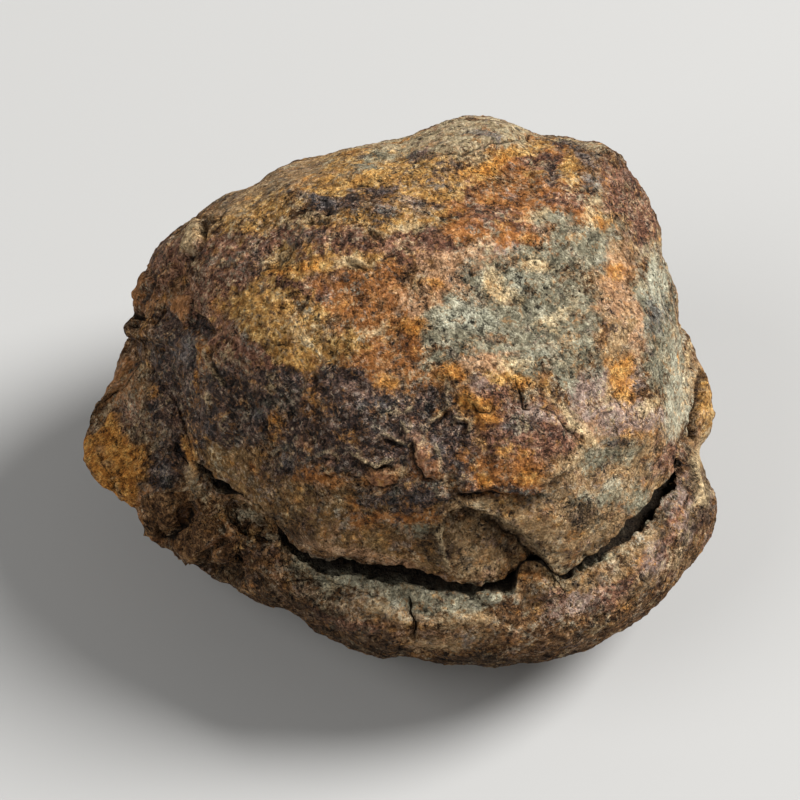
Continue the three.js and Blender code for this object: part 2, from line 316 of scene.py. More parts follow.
def fitOutline(half, reach, points):
    u, v, scale = toFace(points)
    first, last = half["outline"][0][0], half["outline"][-1][0]
    middle = (first + last) / 2
    angle = middle - 180 + np.mod(degreesOf(u, v) - middle + 180, 360)
    beyond = np.maximum(np.maximum(first - angle, angle - last), 0)
    held = np.clip(angle, first, last)
    wanted = curve(half["outline"], held, closed=False) / curve(reach, held)
    share = np.minimum(np.hypot(u, v) / curve(reach, angle), 1) ** 3
    change = (wanted - 1) * share * (1 - smooth(beyond, 0, stone["outlineFade"])) / scale
    return points + np.outer(u * change, (1, 0, 0)) + np.outer(v * change, faceUp)


def formHeight(forms, u, v):
    height = np.zeros(len(u))
    for at, half, turn, rise, level in forms:
        height += rise * (1 - smooth(ovalRadius(u, v, at, half, turn), level, 1))
    return height


def scarDepth(scars, u, v):
    depth = np.zeros(len(u))
    for deep, reach, wall, edge in scars:
        away, side, inside = lineDistance(wall + edge, u, v)
        wallAway = lineDistance(wall, u, v)[0]
        depth += deep * smooth(away * side, -0.1, 0.1) * (1 - smooth(wallAway, 0, reach))
    return depth


def ovalRadius(u, v, at, half, turn):
    turn = math.radians(turn)
    du, dv = u - at[0], v - at[1]
    along = (du * math.cos(turn) + dv * math.sin(turn)) / half[0]
    across = (dv * math.cos(turn) - du * math.sin(turn)) / half[1]
    return np.hypot(along, across)


def bite(points, direction, place, half, turn, way):
    # points inside the ellipsoid go in or out to its surface
    turned = np.array(Euler([math.radians(angle) for angle in turn]).to_matrix())
    q = (points - place) @ turned / half
    d = direction @ turned / half
    inside = 1 - (q * q).sum(1)
    along = (q * d).sum(1)
    length = (d * d).sum(1)
    travel = (-along * way + np.sqrt(along ** 2 + np.maximum(inside, 0) * length)) / length
    return points + direction * np.where(inside > 0, way * travel, 0)[:, None]


def skinPoints(half, azimuth, latitude):
    direction = directions(azimuth, latitude)
    points = fitOutline(half, half["reach"], bodyPoints(half, direction))
    u, v, scale = toFace(points)
    shown = smooth(direction @ faceOut, *show["facing"])
    height = (formHeight(half["forms"], u, v) - scarDepth(half["scars"], u, v)) * shown
    height += lumps(stone["skinLumps"], points)
    points = points + direction * height[:, None]
    for place, size, turn, way in half["bites"]:
        points = bite(points, direction, place, size, turn, way)
    return points


def partingHeight(x, y):
    turn = 2 * math.pi / stone["swellLength"]
    wave = stone["swellHeight"] * np.sin(x * turn + 1) * np.cos(y * turn)
    flat = np.column_stack((x, y, np.full(len(x), float(stone["seamHeight"]))))
    return stone["seamHeight"] + wave + lumps(stone["partingLumps"], flat)


def overhangOf(x, y):
    # angle round the upper half and distance beyond its plan
    dx, dy = x - upperHalf["centre"][0], y - upperHalf["centre"][1]
    angle = degreesOf(dx, dy)
    return angle, np.hypot(dx, dy) - curve(upperHalf["plan"], angle)


def partingOf(half, x, y):
    # height of a half's own side of the parting
    angle, offset = overhangOf(x, y)
    base = partingHeight(x, y)
    if half["side"] > 0:
        lifted = np.maximum(curve(seam["opening"], angle), 0)
        return base + stone["seamGap"] + lifted * smooth(offset, *seam["openingRun"])
    outside = np.maximum(offset, 0)
    flat = np.column_stack((x, y, np.full(len(x), float(stone["seamHeight"]))))
    rough = lumps(stone["skinLumps"], flat) * smooth(outside, *seam["crustRun"])
    wavy = offset + lumps(seam["ragged"], flat)
    drop = curve(seam["drop"], angle) * smooth(wavy, *seam["dropRun"])
    under = smooth(wavy, *seam["cleftIn"]) * (1 - smooth(wavy, *seam["cleftOut"]))
    drop += np.maximum(curve(seam["cleft"], angle), 0) * under
    for turn, out, halfTurn, halfOut, rise in seam["lumps"]:
        around = (np.mod(angle - turn + 180, 360) - 180) / halfTurn
        drop -= rise * (1 - smooth(np.hypot(around, (wavy - out) / halfOut), *seam["lumpRun"]))
    fillet = np.maximum(curve(seam["fillet"], angle), 0)
    lean = seam["filletLean"] * fillet
    fillet = fillet * smooth(offset, -seam["filletWall"] - lean, -lean)
    fillet = fillet * (1 - smooth(outside, *seam["filletFoot"]))
    fall = outside * (curve(seam["fall"], angle) + stone["ledgeCurve"] * outside)
    return base + rough + fillet - drop - fall


def findRim(half):
    # latitude all round at which the skin meets the half's side of the parting
    count, lowest, highest, halvings = 720, -0.3, 1.2, 16
    azimuth = np.radians(np.arange(count) * 360 / count)
    low, high = np.full(count, lowest), np.full(count, highest)
    for _ in range(halvings):
        middle = (low + high) / 2
        points = skinPoints(half, azimuth, middle)
        above = points[:, 2] > partingOf(half, points[:, 0], points[:, 1])
        low, high = np.where(above, low, middle), np.where(above, middle, high)
    latitude = (low + high) / 2
    reach = 4                  # neighbours on each side that it is evened out over
    weights = np.hanning(2 * reach + 1)
    padded = np.concatenate((latitude[-reach:], latitude, latitude[:reach]))
    return azimuth, np.convolve(padded, weights / weights.sum(), "valid")


ringStep = 0.01                # between the rings on the flat side of the unit ball
farInside = 99                 # mm, further than any ring lies from the edge


def makeHalfSphere(half):
    # half a ball, its flat side closed by rings that step inwards
    bm = bmesh.new()
    bmesh.ops.create_icosphere(bm, subdivisions=stone["ballSteps"], radius=1)
    everything = bm.verts[:] + bm.edges[:] + bm.faces[:]
    bmesh.ops.bisect_plane(bm, geom=everything, dist=1e-4, plane_co=(0, 0, 0), plane_no=(0, 0, half["side"]),
                           clear_inner=True)
    ledge = seam["ledgeRings"] + len(seam["fineRings"]) + len(seam["lowerRings"])
    rings = len(seam["upperRings"]) if half["side"] > 0 else ledge
    rim = [edge for edge in bm.edges if edge.is_boundary]
    for ring in range(rings + 1):
        grown = bmesh.ops.extrude_edge_only(bm, edges=rim)["geom"]
        corners = [item for item in grown if isinstance(item, bmesh.types.BMVert)]
        rim = [item for item in grown if isinstance(item, bmesh.types.BMEdge)]
        for corner in corners:
            corner.co = Vector((corner.co.x, corner.co.y, 0)).normalized() * (1 - ringStep * (ring + 1))
    bmesh.ops.pointmerge(bm, verts=corners, merge_co=(0, 0, 0))
    bmesh.ops.recalc_face_normals(bm, faces=bm.faces[:])
    return bm


def partingRings(half, rim, ring):
    # where each ring of the flat side lies, seen from above
    centre = np.array(upperHalf["centre"])
    away = rim[:, :2] - centre
    reach = np.linalg.norm(away, axis=1)
    away = away / reach[:, None]
    if half["side"] > 0:
        inward = np.append(np.array(seam["upperRings"], float), farInside)
        distance = reach - inward[ring]
    else:
        fine = np.array(seam["fineRings"] + tuple(-inward for inward in seam["lowerRings"]) + (-farInside,))
        edge = curve(upperHalf["plan"], degreesOf(away[:, 0], away[:, 1]))
        first = np.minimum(edge + fine[0], reach - seam["rimMargin"])
        along = (ring + 1) / seam["ledgeRings"]
        last = np.clip(ring - seam["ledgeRings"] + 1, 0, len(fine) - 1)
        distance = np.where(along < 1, reach + (first - reach) * along, first + fine[last] - fine[0])
    return centre + away * np.maximum(distance, 0)[:, None]


def roundEdge(half, bm, radius, height):
    # softens the edge where skin and parting meet
    flat, outer = 0.02, 0.955
    near = np.flatnonzero((height < flat) & (radius > outer))
    bm.verts.ensure_lookup_table()
    corners = [bm.verts[i] for i in near]
    for _ in range(half["edgeRounding"]):
        bmesh.ops.smooth_vert(bm, verts=corners, factor=0.5, use_axis_x=True, use_axis_y=True,
                              use_axis_z=True)


def getPoints(mesh):
    flat = np.empty(len(mesh.vertices) * 3)
    mesh.vertices.foreach_get("co", flat)
    return flat.reshape(-1, 3)


def getNormals(mesh):
    flat = np.empty(len(mesh.vertices) * 3)
    mesh.vertex_normals.foreach_get("vector", flat)
    return flat.reshape(-1, 3)


def setPoints(mesh, points):
    mesh.vertices.foreach_set("co", points.ravel())
    mesh.update()


def shapeHalf(half):
    half["reach"] = measureReach(half)
    bm = makeHalfSphere(half)
    mesh = bpy.data.meshes.new(half["node"])
    bm.to_mesh(mesh)
    ball = getPoints(mesh)
    azimuth = np.arctan2(ball[:, 1], ball[:, 0])
    radius = np.hypot(ball[:, 0], ball[:, 1])
    skin = np.linalg.norm(ball, axis=1) > 0.995
    rimAzimuth, rimLatitude = findRim(half)
    rimHere = np.interp(np.mod(azimuth, 2 * math.pi), np.append(rimAzimuth, 2 * math.pi),
                        np.append(rimLatitude, rimLatitude[0]))
    points = np.zeros_like(ball)
    share = np.abs(np.arcsin(np.clip(ball[:, 2], -1, 1))) / (math.pi / 2)
    latitude = rimHere + (half["side"] * math.pi / 2 - rimHere) * share
    points[skin] = skinPoints(half, azimuth[skin], latitude[skin])
    inner = ~skin
    ring = np.rint((1 - radius[inner]) / ringStep).astype(int) - 1
    middleRing = 90            # the point in the middle counts as a ring of its own
    last = int(ring[ring < middleRing].max()) + 1
    places = partingRings(half, skinPoints(half, azimuth[inner], rimHere[inner]), np.minimum(ring, last))
    points[inner, :2] = places
    points[inner, 2] = partingOf(half, places[:, 0], places[:, 1])
    bm.verts.ensure_lookup_table()
    for corner, place in zip(bm.verts, points):
        corner.co = place
    roundEdge(half, bm, radius, np.abs(ball[:, 2]))
    bm.to_mesh(mesh)
    bm.free()
    half["skin"] = skin
    print("shaped", half["node"], len(mesh.polygons), "faces")
    return mesh


# Lines on the show face of the upper half: width, depth and the points that the crack follows
upperCracks = (
    (0.35, 0.4, ((-18.5, 4.3), (-18.2, 2.8), (-17.5, 1.7), (-16.8, 0.3))),
    (0.35, 0.4, ((-8.1, 2), (-8.1, 0.6), (-8.7, -0.6))),
    (0.35, 0.35, ((-13.4, 12.1), (-12, 12.3), (-10.9, 13))),
    (0.35, 0.35, ((-5.2, 12.7), (-4.4, 12.4), (-3, 11.6))),
    (0.35, 0.35, ((-9.4, 16.5), (-8, 16.7), (-6.6, 16.3))),
    (0.35, 0.35, ((-3.2, 15.9), (-2.4, 15.1), (-0.8, 14.9))),
    (0.3, 0.3, ((2.2, 11.4), (2, 10.4), (2.5, 9.6))),
    (0.35, 0.4, ((5.4, -3), (6.6, -3.1), (6.4, -4.2))),
    (0.35, 0.4, ((-7.6, -7.9), (-6.7, -8.4), (-5.8, -7.9))),
    (0.4, 0.5, ((-1.7, -4.4), (-0.8, -4.9), (0.6, -5.5))),
    (0.4, 0.5, ((-4.6, -6.5), (-3.5, -7.1), (-2.2, -7.5), (-0.5, -7.2))),
    (0.4, 0.5, ((3.1, -3.4), (4.2, -2.8), (5, -1.8))),
    (0.4, 0.6, ((1.3, -4.6), (1.4, -6.3), (2.4, -8.3), (3.6, -8.8))),
    (0.4, 0.5, ((-3, -8.2), (-2.6, -9.2), (-1.2, -9.4), (0.2, -9))),
    (0.4, 0.5, ((7.2, -0.9), (7.5, -2), (8.8, -2.2), (9.3, -1.2))),
    (0.35, 0.4, ((-13.2, -3), (-12.6, -4.4), (-11.6, -4.7))),
    (0.3, 0.45, ((3.8, 22.9), (4.8, 23.2), (6.4, 23.5), (8, 23.9), (9.3, 24.2), (11, 24.5), (13.2, 24.9))),
    (0.4, 0.8, ((-18.6, 16.6), (-18.9, 15.9), (-18.8, 15), (-19.2, 14.2), (-20, 13.4), (-21, 12.8))),
    (0.3, 0.4, ((-17, 17.6), (-17.4, 16.95), (-18.1, 16.6), (-18.7, 16.8))),
    (0.25, 0.3, ((-21.5, 13.1), (-21.1, 14.6), (-20.6, 16), (-20, 16.6), (-18.8, 17.2))),
    (0.35, 0.5, ((-24.3, 12), (-24, 11.2), (-23.8, 10.6), (-24.1, 10), (-24.6, 9), (-24.9, 8.2))),
    (0.35, 0.5, ((-22.6, 8.2), (-23.3, 7.8), (-23.6, 6.8), (-24, 6.2))),
    (0.3, 0.5, ((-20.5, 6), (-20.1, 7.1), (-19.6, 7.45), (-19, 7), (-18.2, 6), (-17.8, 5.4))),
    (0.25, 0.3, ((-20, 9.4), (-20, 8.4), (-20.1, 7.4))),
    (0.25, 0.25, ((-18.9, 13.3), (-19.2, 12.6))),
    (0.3, 0.5, ((11.4, 1.6), (11.6, 0.6), (11.9, -0.4), (12.3, -1.8), (12.9, -1.9), (13.3, -1.5))),
    (0.25, 0.3, ((13.4, -1.5), (14.4, -1.7), (15.2, -2.3), (16, -3.2), (17, -4.2), (17.8, -4.8),
                 (18.4, -5.4))),
    (0.45, 0.8, ((5.5, -9.8), (7.5, -9.95), (10, -9.9), (12.5, -9.85), (14.3, -9.9))),
    (0.25, 0.3, ((14.4, -9.6), (14.5, -8.6), (15.6, -7.7), (16.8, -7.1), (17.6, -6.6))),
    (0.45, 0.4, ((8, -12.1), (9.3, -12.9), (11.5, -14.3), (12.8, -15.6), (13.4, -16.3))),
    (0.25, 0.3, ((-8.9, -9.4), (-8.3, -9.9), (-7.9, -10.5))),
    (0.22, 0.2, ((-3.4, 11.1), (-2.4, 11.4), (-1.6, 12))),
    (0.22, 0.2, ((-2, 12.8), (-0.8, 13.3), (0.5, 13.6))),
    (0.22, 0.2, ((0.2, 14.6), (1.2, 14.3), (2.4, 14.5))),
    (0.22, 0.2, ((3.4, 15.6), (4.6, 15.2), (5.6, 15.4))),
    (0.25, 0.25, ((13, 13), (13.9, 13), (14.4, 12.6))),
    (0.25, 0.2, ((15, 12), (15.8, 11.9), (16.4, 12.1))),
    (0.3, 0.3, ((19.3, 11.2), (19.6, 9.9), (19.8, 9.1), (20.2, 8.2))),
    (0.28, 0.2, ((13.6, 5.4), (14, 5), (14.8, 4))),
    (0.3, 0.3, ((16.2, 4.2), (16.5, 3.8), (17.2, 2.9))),
    (0.28, 0.2, ((12, 8.8), (12.6, 7.8), (13.3, 7.2))),
    (0.28, 0.2, ((8, 7.5), (8.8, 6.6), (9.8, 6))),
    (0.3, 0.3, ((22, 17.3), (22.4, 16.3), (22.9, 15))),
    (0.22, 0.3, ((22.3, -0.4), (23, -1.2))),
    (0.25, 0.4, ((25.3, -5.2), (25.1, -6.4), (24.9, -7.6))),
    (0.25, 0.35, ((27.4, -4.4), (27.1, -5.6), (26.8, -6.9))),
    (0.3, 0.25, ((20.2, 0.6), (20.9, -0.5), (21.6, -1.3))),
)

# Raised lines: width, height, how pale and points
upperRidges = (
    (0.3, 0.3, 0.8, ((4.3, -12.7), (3.9, -14.1), (4.4, -15.5), (5, -17.2))),
    (1.3, 0.25, 0, ((-8, -15), (-5.5, -15.6), (-3, -16.3), (0.5, -16.5))),
    (0.22, 0.28, 1, ((-1.7, -3.9), (-0.8, -4.4), (0.6, -5))),
    (0.22, 0.25, 1, ((-4.6, -6), (-3.5, -6.6), (-2.2, -7), (-0.5, -6.7))),
    (0.3, 0.3, 1, ((3, -2.9), (4, -2.3), (4.7, -1.4))),
    (0.2, 0.2, 0.8, ((-1, -2), (0.5, -2), (1.3, -1.5))),
    (0.2, 0.2, 0.8, ((0.2, -3), (1, -3.8), (1.1, -3))),
    (0.2, 0.2, 0.8, ((5.4, -2.5), (7, -2.6), (6.8, -3.8))),
    (0.2, 0.18, 0.7, ((-7.4, -7.4), (-6.7, -7.9), (-6.2, -7.4))),
    (0.2, 0.18, 0.6, ((-8, -6), (-6.6, -5.9), (-5.6, -6.4))),
    (0.2, 0.18, 0.7, ((3.6, -5), (4, -6.4), (3.8, -8))),
    (0.2, 0.18, 0.7, ((4.9, 0.8), (4.7, 0), (4.9, -1.4))),
    (0.3, 0.15, 0.45, ((14.2, -0.4), (15.4, -1.4), (16.8, -2.8), (18, -4.2))),
    (0.3, 0.15, 0.5, ((15.8, -1), (16.9, -2), (18, -3.2), (18.6, -4.4))),
    (0.3, 0.25, 0.5, ((17.9, -5.2), (17.3, -6.7), (15.6, -7.4), (14.4, -8.4), (14.2, -9.4))),
    (0.5, 0.2, 0, ((26.2, 8.5), (26.7, 7), (27, 5))),
    (0.25, 0.2, 0.7, ((-18.9, 4.4), (-18.6, 3), (-17.9, 1.9), (-17.4, 1.2), (-17, 0.4))),
    (0.22, 0.18, 0.8, ((-16.7, -2), (-16.9, -3), (-16.6, -3.4))),
    (0.2, 0.18, 0.7, ((-18.8, -0.4), (-18.2, -0.9), (-18.3, -0.2))),
    (0.2, 0.18, 0.6, ((-12.6, -5.6), (-12.2, -6.2), (-11.2, -5.4))),
    (0.25, 0.18, 0.6, ((-13.4, 12.6), (-12, 12.8), (-10.9, 13.6))),
    (0.25, 0.18, 0.7, ((-5.2, 13.2), (-4.4, 12.9), (-3, 12.2))),
    (0.25, 0.18, 0.6, ((-9.4, 17), (-8, 17.2), (-6.8, 16.9), (-5.6, 16.7))),
    (0.25, 0.18, 0.6, ((-3.2, 16.4), (-2.4, 15.6), (-0.8, 15.4))),
    (0.22, 0.15, 0.7, ((1.8, 11.4), (1.6, 10.4), (2, 9.6))),
    (0.2, 0.15, 0.6, ((23.3, -1.4), (24, -2), (24.6, -2.6))),
    (0.2, 0.15, 0.6, ((23.6, -2.4), (24.4, -1.8))),
    (0.25, 0.18, 0.4, ((22.4, 19.4), (22.9, 18.2), (23, 17))),
    (0.25, 0.18, 0.4, ((21.8, 20.6), (22.3, 19.8))),
    (0.3, 0.15, 0.7, ((27.9, 5.6), (28.3, 4), (28.4, 2), (28.2, 0))),
    (0.9, 0.05, 0.9, ((-20.7, 13.6), (-20.1, 14.8), (-19.5, 16))),
    (0.25, 0.12, 0.4, ((8, -11.5), (9.6, -12.2), (11.9, -13.6), (13.6, -15.1), (14.6, -16.8))),
)

# Steps: height, how soft, how far the raised side lasts; the left side of the line is raised
upperSteps = (
    (0.35, 0.25, 4, ((-21, -4.2), (-17.5, -4.7), (-15.5, -5.1), (-13.6, -6.2), (-12.3, -7.6), (-10.2, -9.1),
                     (-8.3, -8.4), (-5.2, -8.2), (-3.7, -9.6), (-3.1, -11), (-1.6, -12), (1, -11.9),
                     (3.4, -10.9), (5.4, -9.9))),
    (0.8, 0.2, 5, ((5.4, -9.9), (10, -10), (14.3, -9.8), (14.4, -8.6), (16.4, -7.4), (17.6, -6.2),
                   (18.1, -5))),
    (0.25, 0.25, 2.5, ((3.6, 23), (6.4, 23.7), (11.6, 24.8))),
    (0.35, 0.2, 2, ((-24.9, 8.2), (-24.6, 9), (-24.1, 10), (-23.8, 10.6), (-24, 11.2), (-24.3, 12))),
    (0.3, 0.2, 2, ((-24, 6.2), (-23.6, 6.8), (-23.3, 7.8), (-22.6, 8.2))),
)

# Flakes that stand out and places where they came off: height, finish and the ring of their edge
pocket = ((-26.4, 7.3), (-26.5, 6), (-26, 5.7), (-25.5, 6.1), (-25.2, 6.7), (-24.6, 7), (-25, 7.5),
          (-25.2, 8), (-25.9, 7.7))
upperFlakes = (
    (0.5, "tan", ((-21.5, 12.8), (-20.2, 13.6), (-19.6, 14.2), (-19.05, 15), (-19.2, 15.5), (-18.8, 16.6),
                      (-19.3, 16.3), (-19.9, 16.5), (-20.5, 15.9), (-21, 14.6))),
    (0.35, "tan", ((-18.7, 16.9), (-18.2, 16.7), (-17.5, 17.05), (-17.1, 17.8), (-17.9, 17.5))),
    (0.4, "umber", ((-22.3, 9.2), (-22.5, 8), (-21.3, 7.2), (-20.6, 6.6), (-20.1, 7.5), (-20, 9),
                    (-20.9, 9.8))),
    (0.3, "umber", ((-26.3, 8.4), (-25.2, 8), (-24.4, 9.6), (-24, 10.8), (-24.6, 11.9), (-25.6, 10.6))),
    (-1.2, "hole", pocket),
    (-0.4, "darkCrust", ((-20.3, 6.4), (-19.4, 5.4), (-18.6, 5), (-18, 5.4), (-18.4, 6.2), (-19, 7),
                         (-19.6, 7.3))),
)

upperHollows = (
    ((-11.4, -6.9), (1.9, 2), -35, -0.55, 0.4),        # diamond hollow
    ((-9, -12.2), (0.5, 0.5), 0, -0.3, 0.2),
    ((-11.3, -11), (0.9, 0.8), 0, -0.25, 0.2),
    ((-4.2, -13.8), (1.2, 0.8), 0, -0.2, 0.1),
    ((17.6, -11.5), (1.2, 1), 0, -0.25, 0.2),
    ((2.7, -6.6), (1.5, 2.5), 20, 0.45, 0.4),         # smooth brown blister
    ((-1.4, -8.3), (1.8, 1.1), 10, 0.3, 0.5),
    ((7.4, -0.9), (1.7, 1), -35, 0.35, 0.5),
    ((8.7, -2.6), (1.3, 1.1), -20, 0.35, 0.5),
    ((5, 1.8), (1.8, 0.8), -10, 0.3, 0.5),
    ((13.8, 21.2), (1.1, 0.8), 0, 0.35, 0.5),
    ((14.9, 21.4), (0.6, 1), 0, -0.45, 0.3),
    ((-8.5, 0.8), (0.6, 1.4), 0, 0.25, 0.4),
    ((-4.6, -4.1), (0.9, 0.5), 0, 0.25, 0.4),
    ((-12, -3.3), (0.9, 1.1), 0, 0.3, 0.4),
    ((22.9, 1.2), (0.8, 1.2), -10, -0.3, 0.3),
    ((3.6, 13), (2, 1.2), 10, 0.2, 0.2),
)

lowerCracks = (
    (0.2, 0.4, ((-12.4, -18.4), (-10, -18.4), (-7, -18.3), (-5.4, -18.7), (-3.8, -19.5), (-1.8, -20))),
    (0.3, 0.8, ((0.7, -19.9), (1.2, -20.7), (1.3, -21.8), (1.6, -23), (1.5, -24.3))),
    (0.3, 0.6, ((-16.4, -13.4), (-15.8, -14.6), (-15.6, -15.4), (-15.4, -16.6), (-15.2, -17.8))),
    (0.25, 0.5, ((-18, -11.4), (-17.6, -12.4), (-17.2, -13.5), (-16.8, -14.2))),
    (0.35, 1, ((29.6, 2.4), (29.3, 1), (29, -0.4), (28.6, -1.8), (28.4, -3.4), (28.4, -5))),
    (0.3, 0.4, ((-25.6, -10.9), (-25.1, -11.7))),
    (0.3, 0.3, ((-26.9, -7.5), (-26.2, -6.8), (-25.7, -6.5), (-25.4, -5.3))),
    (0.25, 0.3, ((-24.3, -5.4), (-24.2, -6.8), (-24.4, -8.6), (-25.2, -9.4))),
    (0.25, 0.3, ((-29.2, -5.4), (-28.8, -6.8), (-28, -8.6), (-27, -10.8), (-26.2, -12))),
    (0.3, 0.8, ((-21.7, -4.8), (-21.4, -5.6), (-20.9, -6.6), (-20.2, -7.4))),
    (0.4, 0.7, ((-22.1, -15.3), (-21.6, -16.2), (-20.8, -16.9))),
    (1, 0.9, ((-24, -14.9), (-22.4, -14.4), (-21.5, -13.5), (-20.8, -12.6), (-19.9, -11.7))),
    (0.3, 0.3, ((-21.5, -11.1), (-21.4, -11.9), (-21.1, -12.7))),
    (0.3, 0.35, ((-22.6, -4.8), (-22, -6.4), (-21.4, -7.8))),
    (0.25, 0.3, ((-12.6, -13.9), (-12.8, -14.8), (-13.5, -15.6))),
    (0.3, 0.3, ((28.9, -11), (28.2, -14), (26.8, -16.8))),
    (0.3, 0.25, ((18.5, -22.5), (21, -21.6), (23.5, -20))),
    (0.3, 0.4, ((23.4, -17.2), (23.6, -18.2), (24.4, -18.8))),
    (0.25, 0.5, ((-16.4, -11.1), (-15.7, -12.1), (-15.9, -12.9))),
    (0.25, 0.5, ((-15.1, -11.2), (-14.7, -12.5), (-15.2, -13.2))),
    (0.25, 0.5, ((-13.8, -12.4), (-13.6, -13.4), (-14.2, -14))),
    (0.3, 0.6, ((-16.9, -11.2), (-16.2, -12.5), (-14.9, -13.6), (-13.4, -14.4), (-12.3, -14.3))),
    (0.3, 0.4, ((15.2, -17.5), (15.3, -18.8), (15, -20))),
)
lowerRidges = (
    (0.4, 0.3, 0.8, ((28.6, -5.6), (28.9, -7), (29.1, -8.8), (29.8, -11))),
    (0.9, 0.3, 0, ((23.6, -13.6), (21.6, -15.8), (19, -17.8))),
    (0.25, 0.2, 0.5, ((-28.9, -5.4), (-28.2, -7.4), (-27, -9.8), (-26, -11.6))),
    (0.3, 0.2, 0.4, ((26.6, -17.4), (27.6, -15.4), (28.3, -13.4))),
    (0.3, 0.2, 0.3, ((25.4, -18.6), (26.6, -16.6), (27.3, -15))),
    (0.4, 0.2, 0.4, ((-2.2, -21), (-1.2, -20.8), (-0.4, -21.2))),
)
lowerSteps = (
    (0.35, 0.15, 2.5, ((-8, -21.6), (-5, -20.8), (-1.6, -21.6), (1.4, -22.6))),
    (0.35, 0.15, 2, ((12.6, -24), (9.6, -22.4), (7, -21.6), (4.6, -21.8))),
    (0.4, 0.15, 2.5, ((-25.4, -5.4), (-25.4, -8.6), (-24.6, -10.6))),
)
lowerFlakes = (
    (-1.2, "hole", pocket),
    # painted shade in the crack beside the bulge
    (-0.8, "shadeAndDirt", ((29.7, 2.7), (29.2, 0.8), (28.6, -1.4), (28.2, -4.6), (28.8, -4.7), (29.2, -1.7),
                    (29.9, 0.6), (30.3, 2.5))),
    (0.8, "base", ((-24.6, -10.2), (-24.4, -12.4), (-24.6, -13.8), (-23, -14.5), (-21.8, -13.8),
                   (-21.2, -12.8), (-21.5, -11.2), (-20.3, -10.6), (-21.8, -9.4))),
    (0.75, "base", ((-22.1, -15.1), (-21.4, -13.9), (-19.8, -12), (-17.8, -12.4), (-17.1, -13.8),
                    (-18.7, -15.2),
                   (-20.3, -16.5))),
    (0.4, "base", ((-17.9, -15.7), (-16.5, -14.9), (-15.8, -15.2), (-15.6, -15.9), (-17, -16.7),
                   (-18.4, -16.6))),
    # painted shade in the recesses under the blocks
    (-0.6, "shadeAndDirt", ((-20.1, -16.7), (-18.8, -15.5), (-17.2, -14.2), (-16.4, -14.7), (-17.9, -15.6),
                    (-18.6, -16.6))),
    (-1, "shadeAndDirt", ((-20, -17.5), (-17.5, -16.9), (-15.8, -16.1), (-15.4, -16.6), (-15.2, -18.3),
                  (-17, -18.3))),
    (0.25, "orange", ((-31.5, -4.8), (-29.3, -3.8), (-28, -2), (-27, -3), (-26.5, -5), (-25.4, -5.3),
                      (-25.2, -8.8),
                    (-25.7, -11), (-26, -13), (-27.4, -12), (-29, -9), (-30.4, -7.2))),
    (0.3, "orange", ((-25.3, -5.2), (-24.4, -5.5), (-24.2, -7), (-24.5, -8.9), (-25.2, -8.9))),
    (0.45, "seamGrey", ((7.5, -19.6), (8.6, -19.3), (9.8, -19.7), (10.2, -20.4), (9, -20.7), (7.8, -20.3))),
)
lowerHollows = (
    ((-24.1, -14.9), (0.9, 0.5), 0, -0.4, 0.2),
    ((-25.3, -11.4), (0.5, 0.6), 0, -0.4, 0.3),
)
upperHalf["relief"] = {
    "cracks": upperCracks, "ridges": upperRidges, "steps": upperSteps, "hollows": upperHollows,
    "flakes": upperFlakes,
}
lowerHalf["relief"] = {
    "cracks": lowerCracks, "ridges": lowerRidges, "steps": lowerSteps, "hollows": lowerHollows,
    "flakes": lowerFlakes,
}
# broken rock in the seam: place, half sizes and turn
rubble = (((-14.4, -12.6), (3.2, 1.3), -44), ((17.6, -16.9), (2.8, 0.8), 24), ((26.4, -8.2), (2, 0.9), 55))

# How the lines begin and end, mm from their ends, and how wide the painted shade of a crack is
lines = {
    "flakeEdge": (-0.15, 0.15),
    "crackEnds": (-0.1, 0.7),
    "crackDark": 0.3,          # share of the crack's width
    "crackLimit": 8,
    "crackReach": (0.4, 0.8),
    "crackTone": 0.35,         # how dark the painted shade of the shallowest crack is
    "ridgeEnds": (-0.3, 0.3),
    "stepEnds": (0, 1.2),
}


def lineDistance(line, u, v):
    # distance to a line of points, on which side of it, and how far from its ends
    best = np.full(len(u), 1e9)
    side, along = np.zeros(len(u)), np.zeros(len(u))
    start = 0
    for index, ((u0, v0), (u1, v1)) in enumerate(zip(line, line[1:])):
        du, dv = u1 - u0, v1 - v0
        length = math.hypot(du, dv)
        t = ((u - u0) * du + (v - v0) * dv) / length ** 2
        held = np.clip(t, 0, 1)
        away = np.hypot(u - u0 - held * du, v - v0 - held * dv)
        turn = du * (v - v0) - dv * (u - u0)
        nearer = away < best
        best = np.where(nearer, away, best)
        side = np.where(nearer, np.sign(turn), side)
        first, last = index == 0, index == len(line) - 2
        along = np.where(nearer, start + length * np.clip(t, -9 if first else 0, 9 if last else 1), along)
        start += length
    return best, side, np.minimum(along, start - along)


def insideRing(ring, u, v):
    # mm inside a closed ring of points, negative outside
    inside = np.zeros(len(u), bool)
    for (u0, v0), (u1, v1) in zip(ring, ring[1:] + ring[:1]):
        crosses = (v0 > v) != (v1 > v)
        inside ^= crosses & (u < u0 + (v - v0) * (u1 - u0) / (v1 - v0 or 1))
    away = lineDistance(ring + ring[:1], u, v)[0]
    return np.where(inside, away, -away)


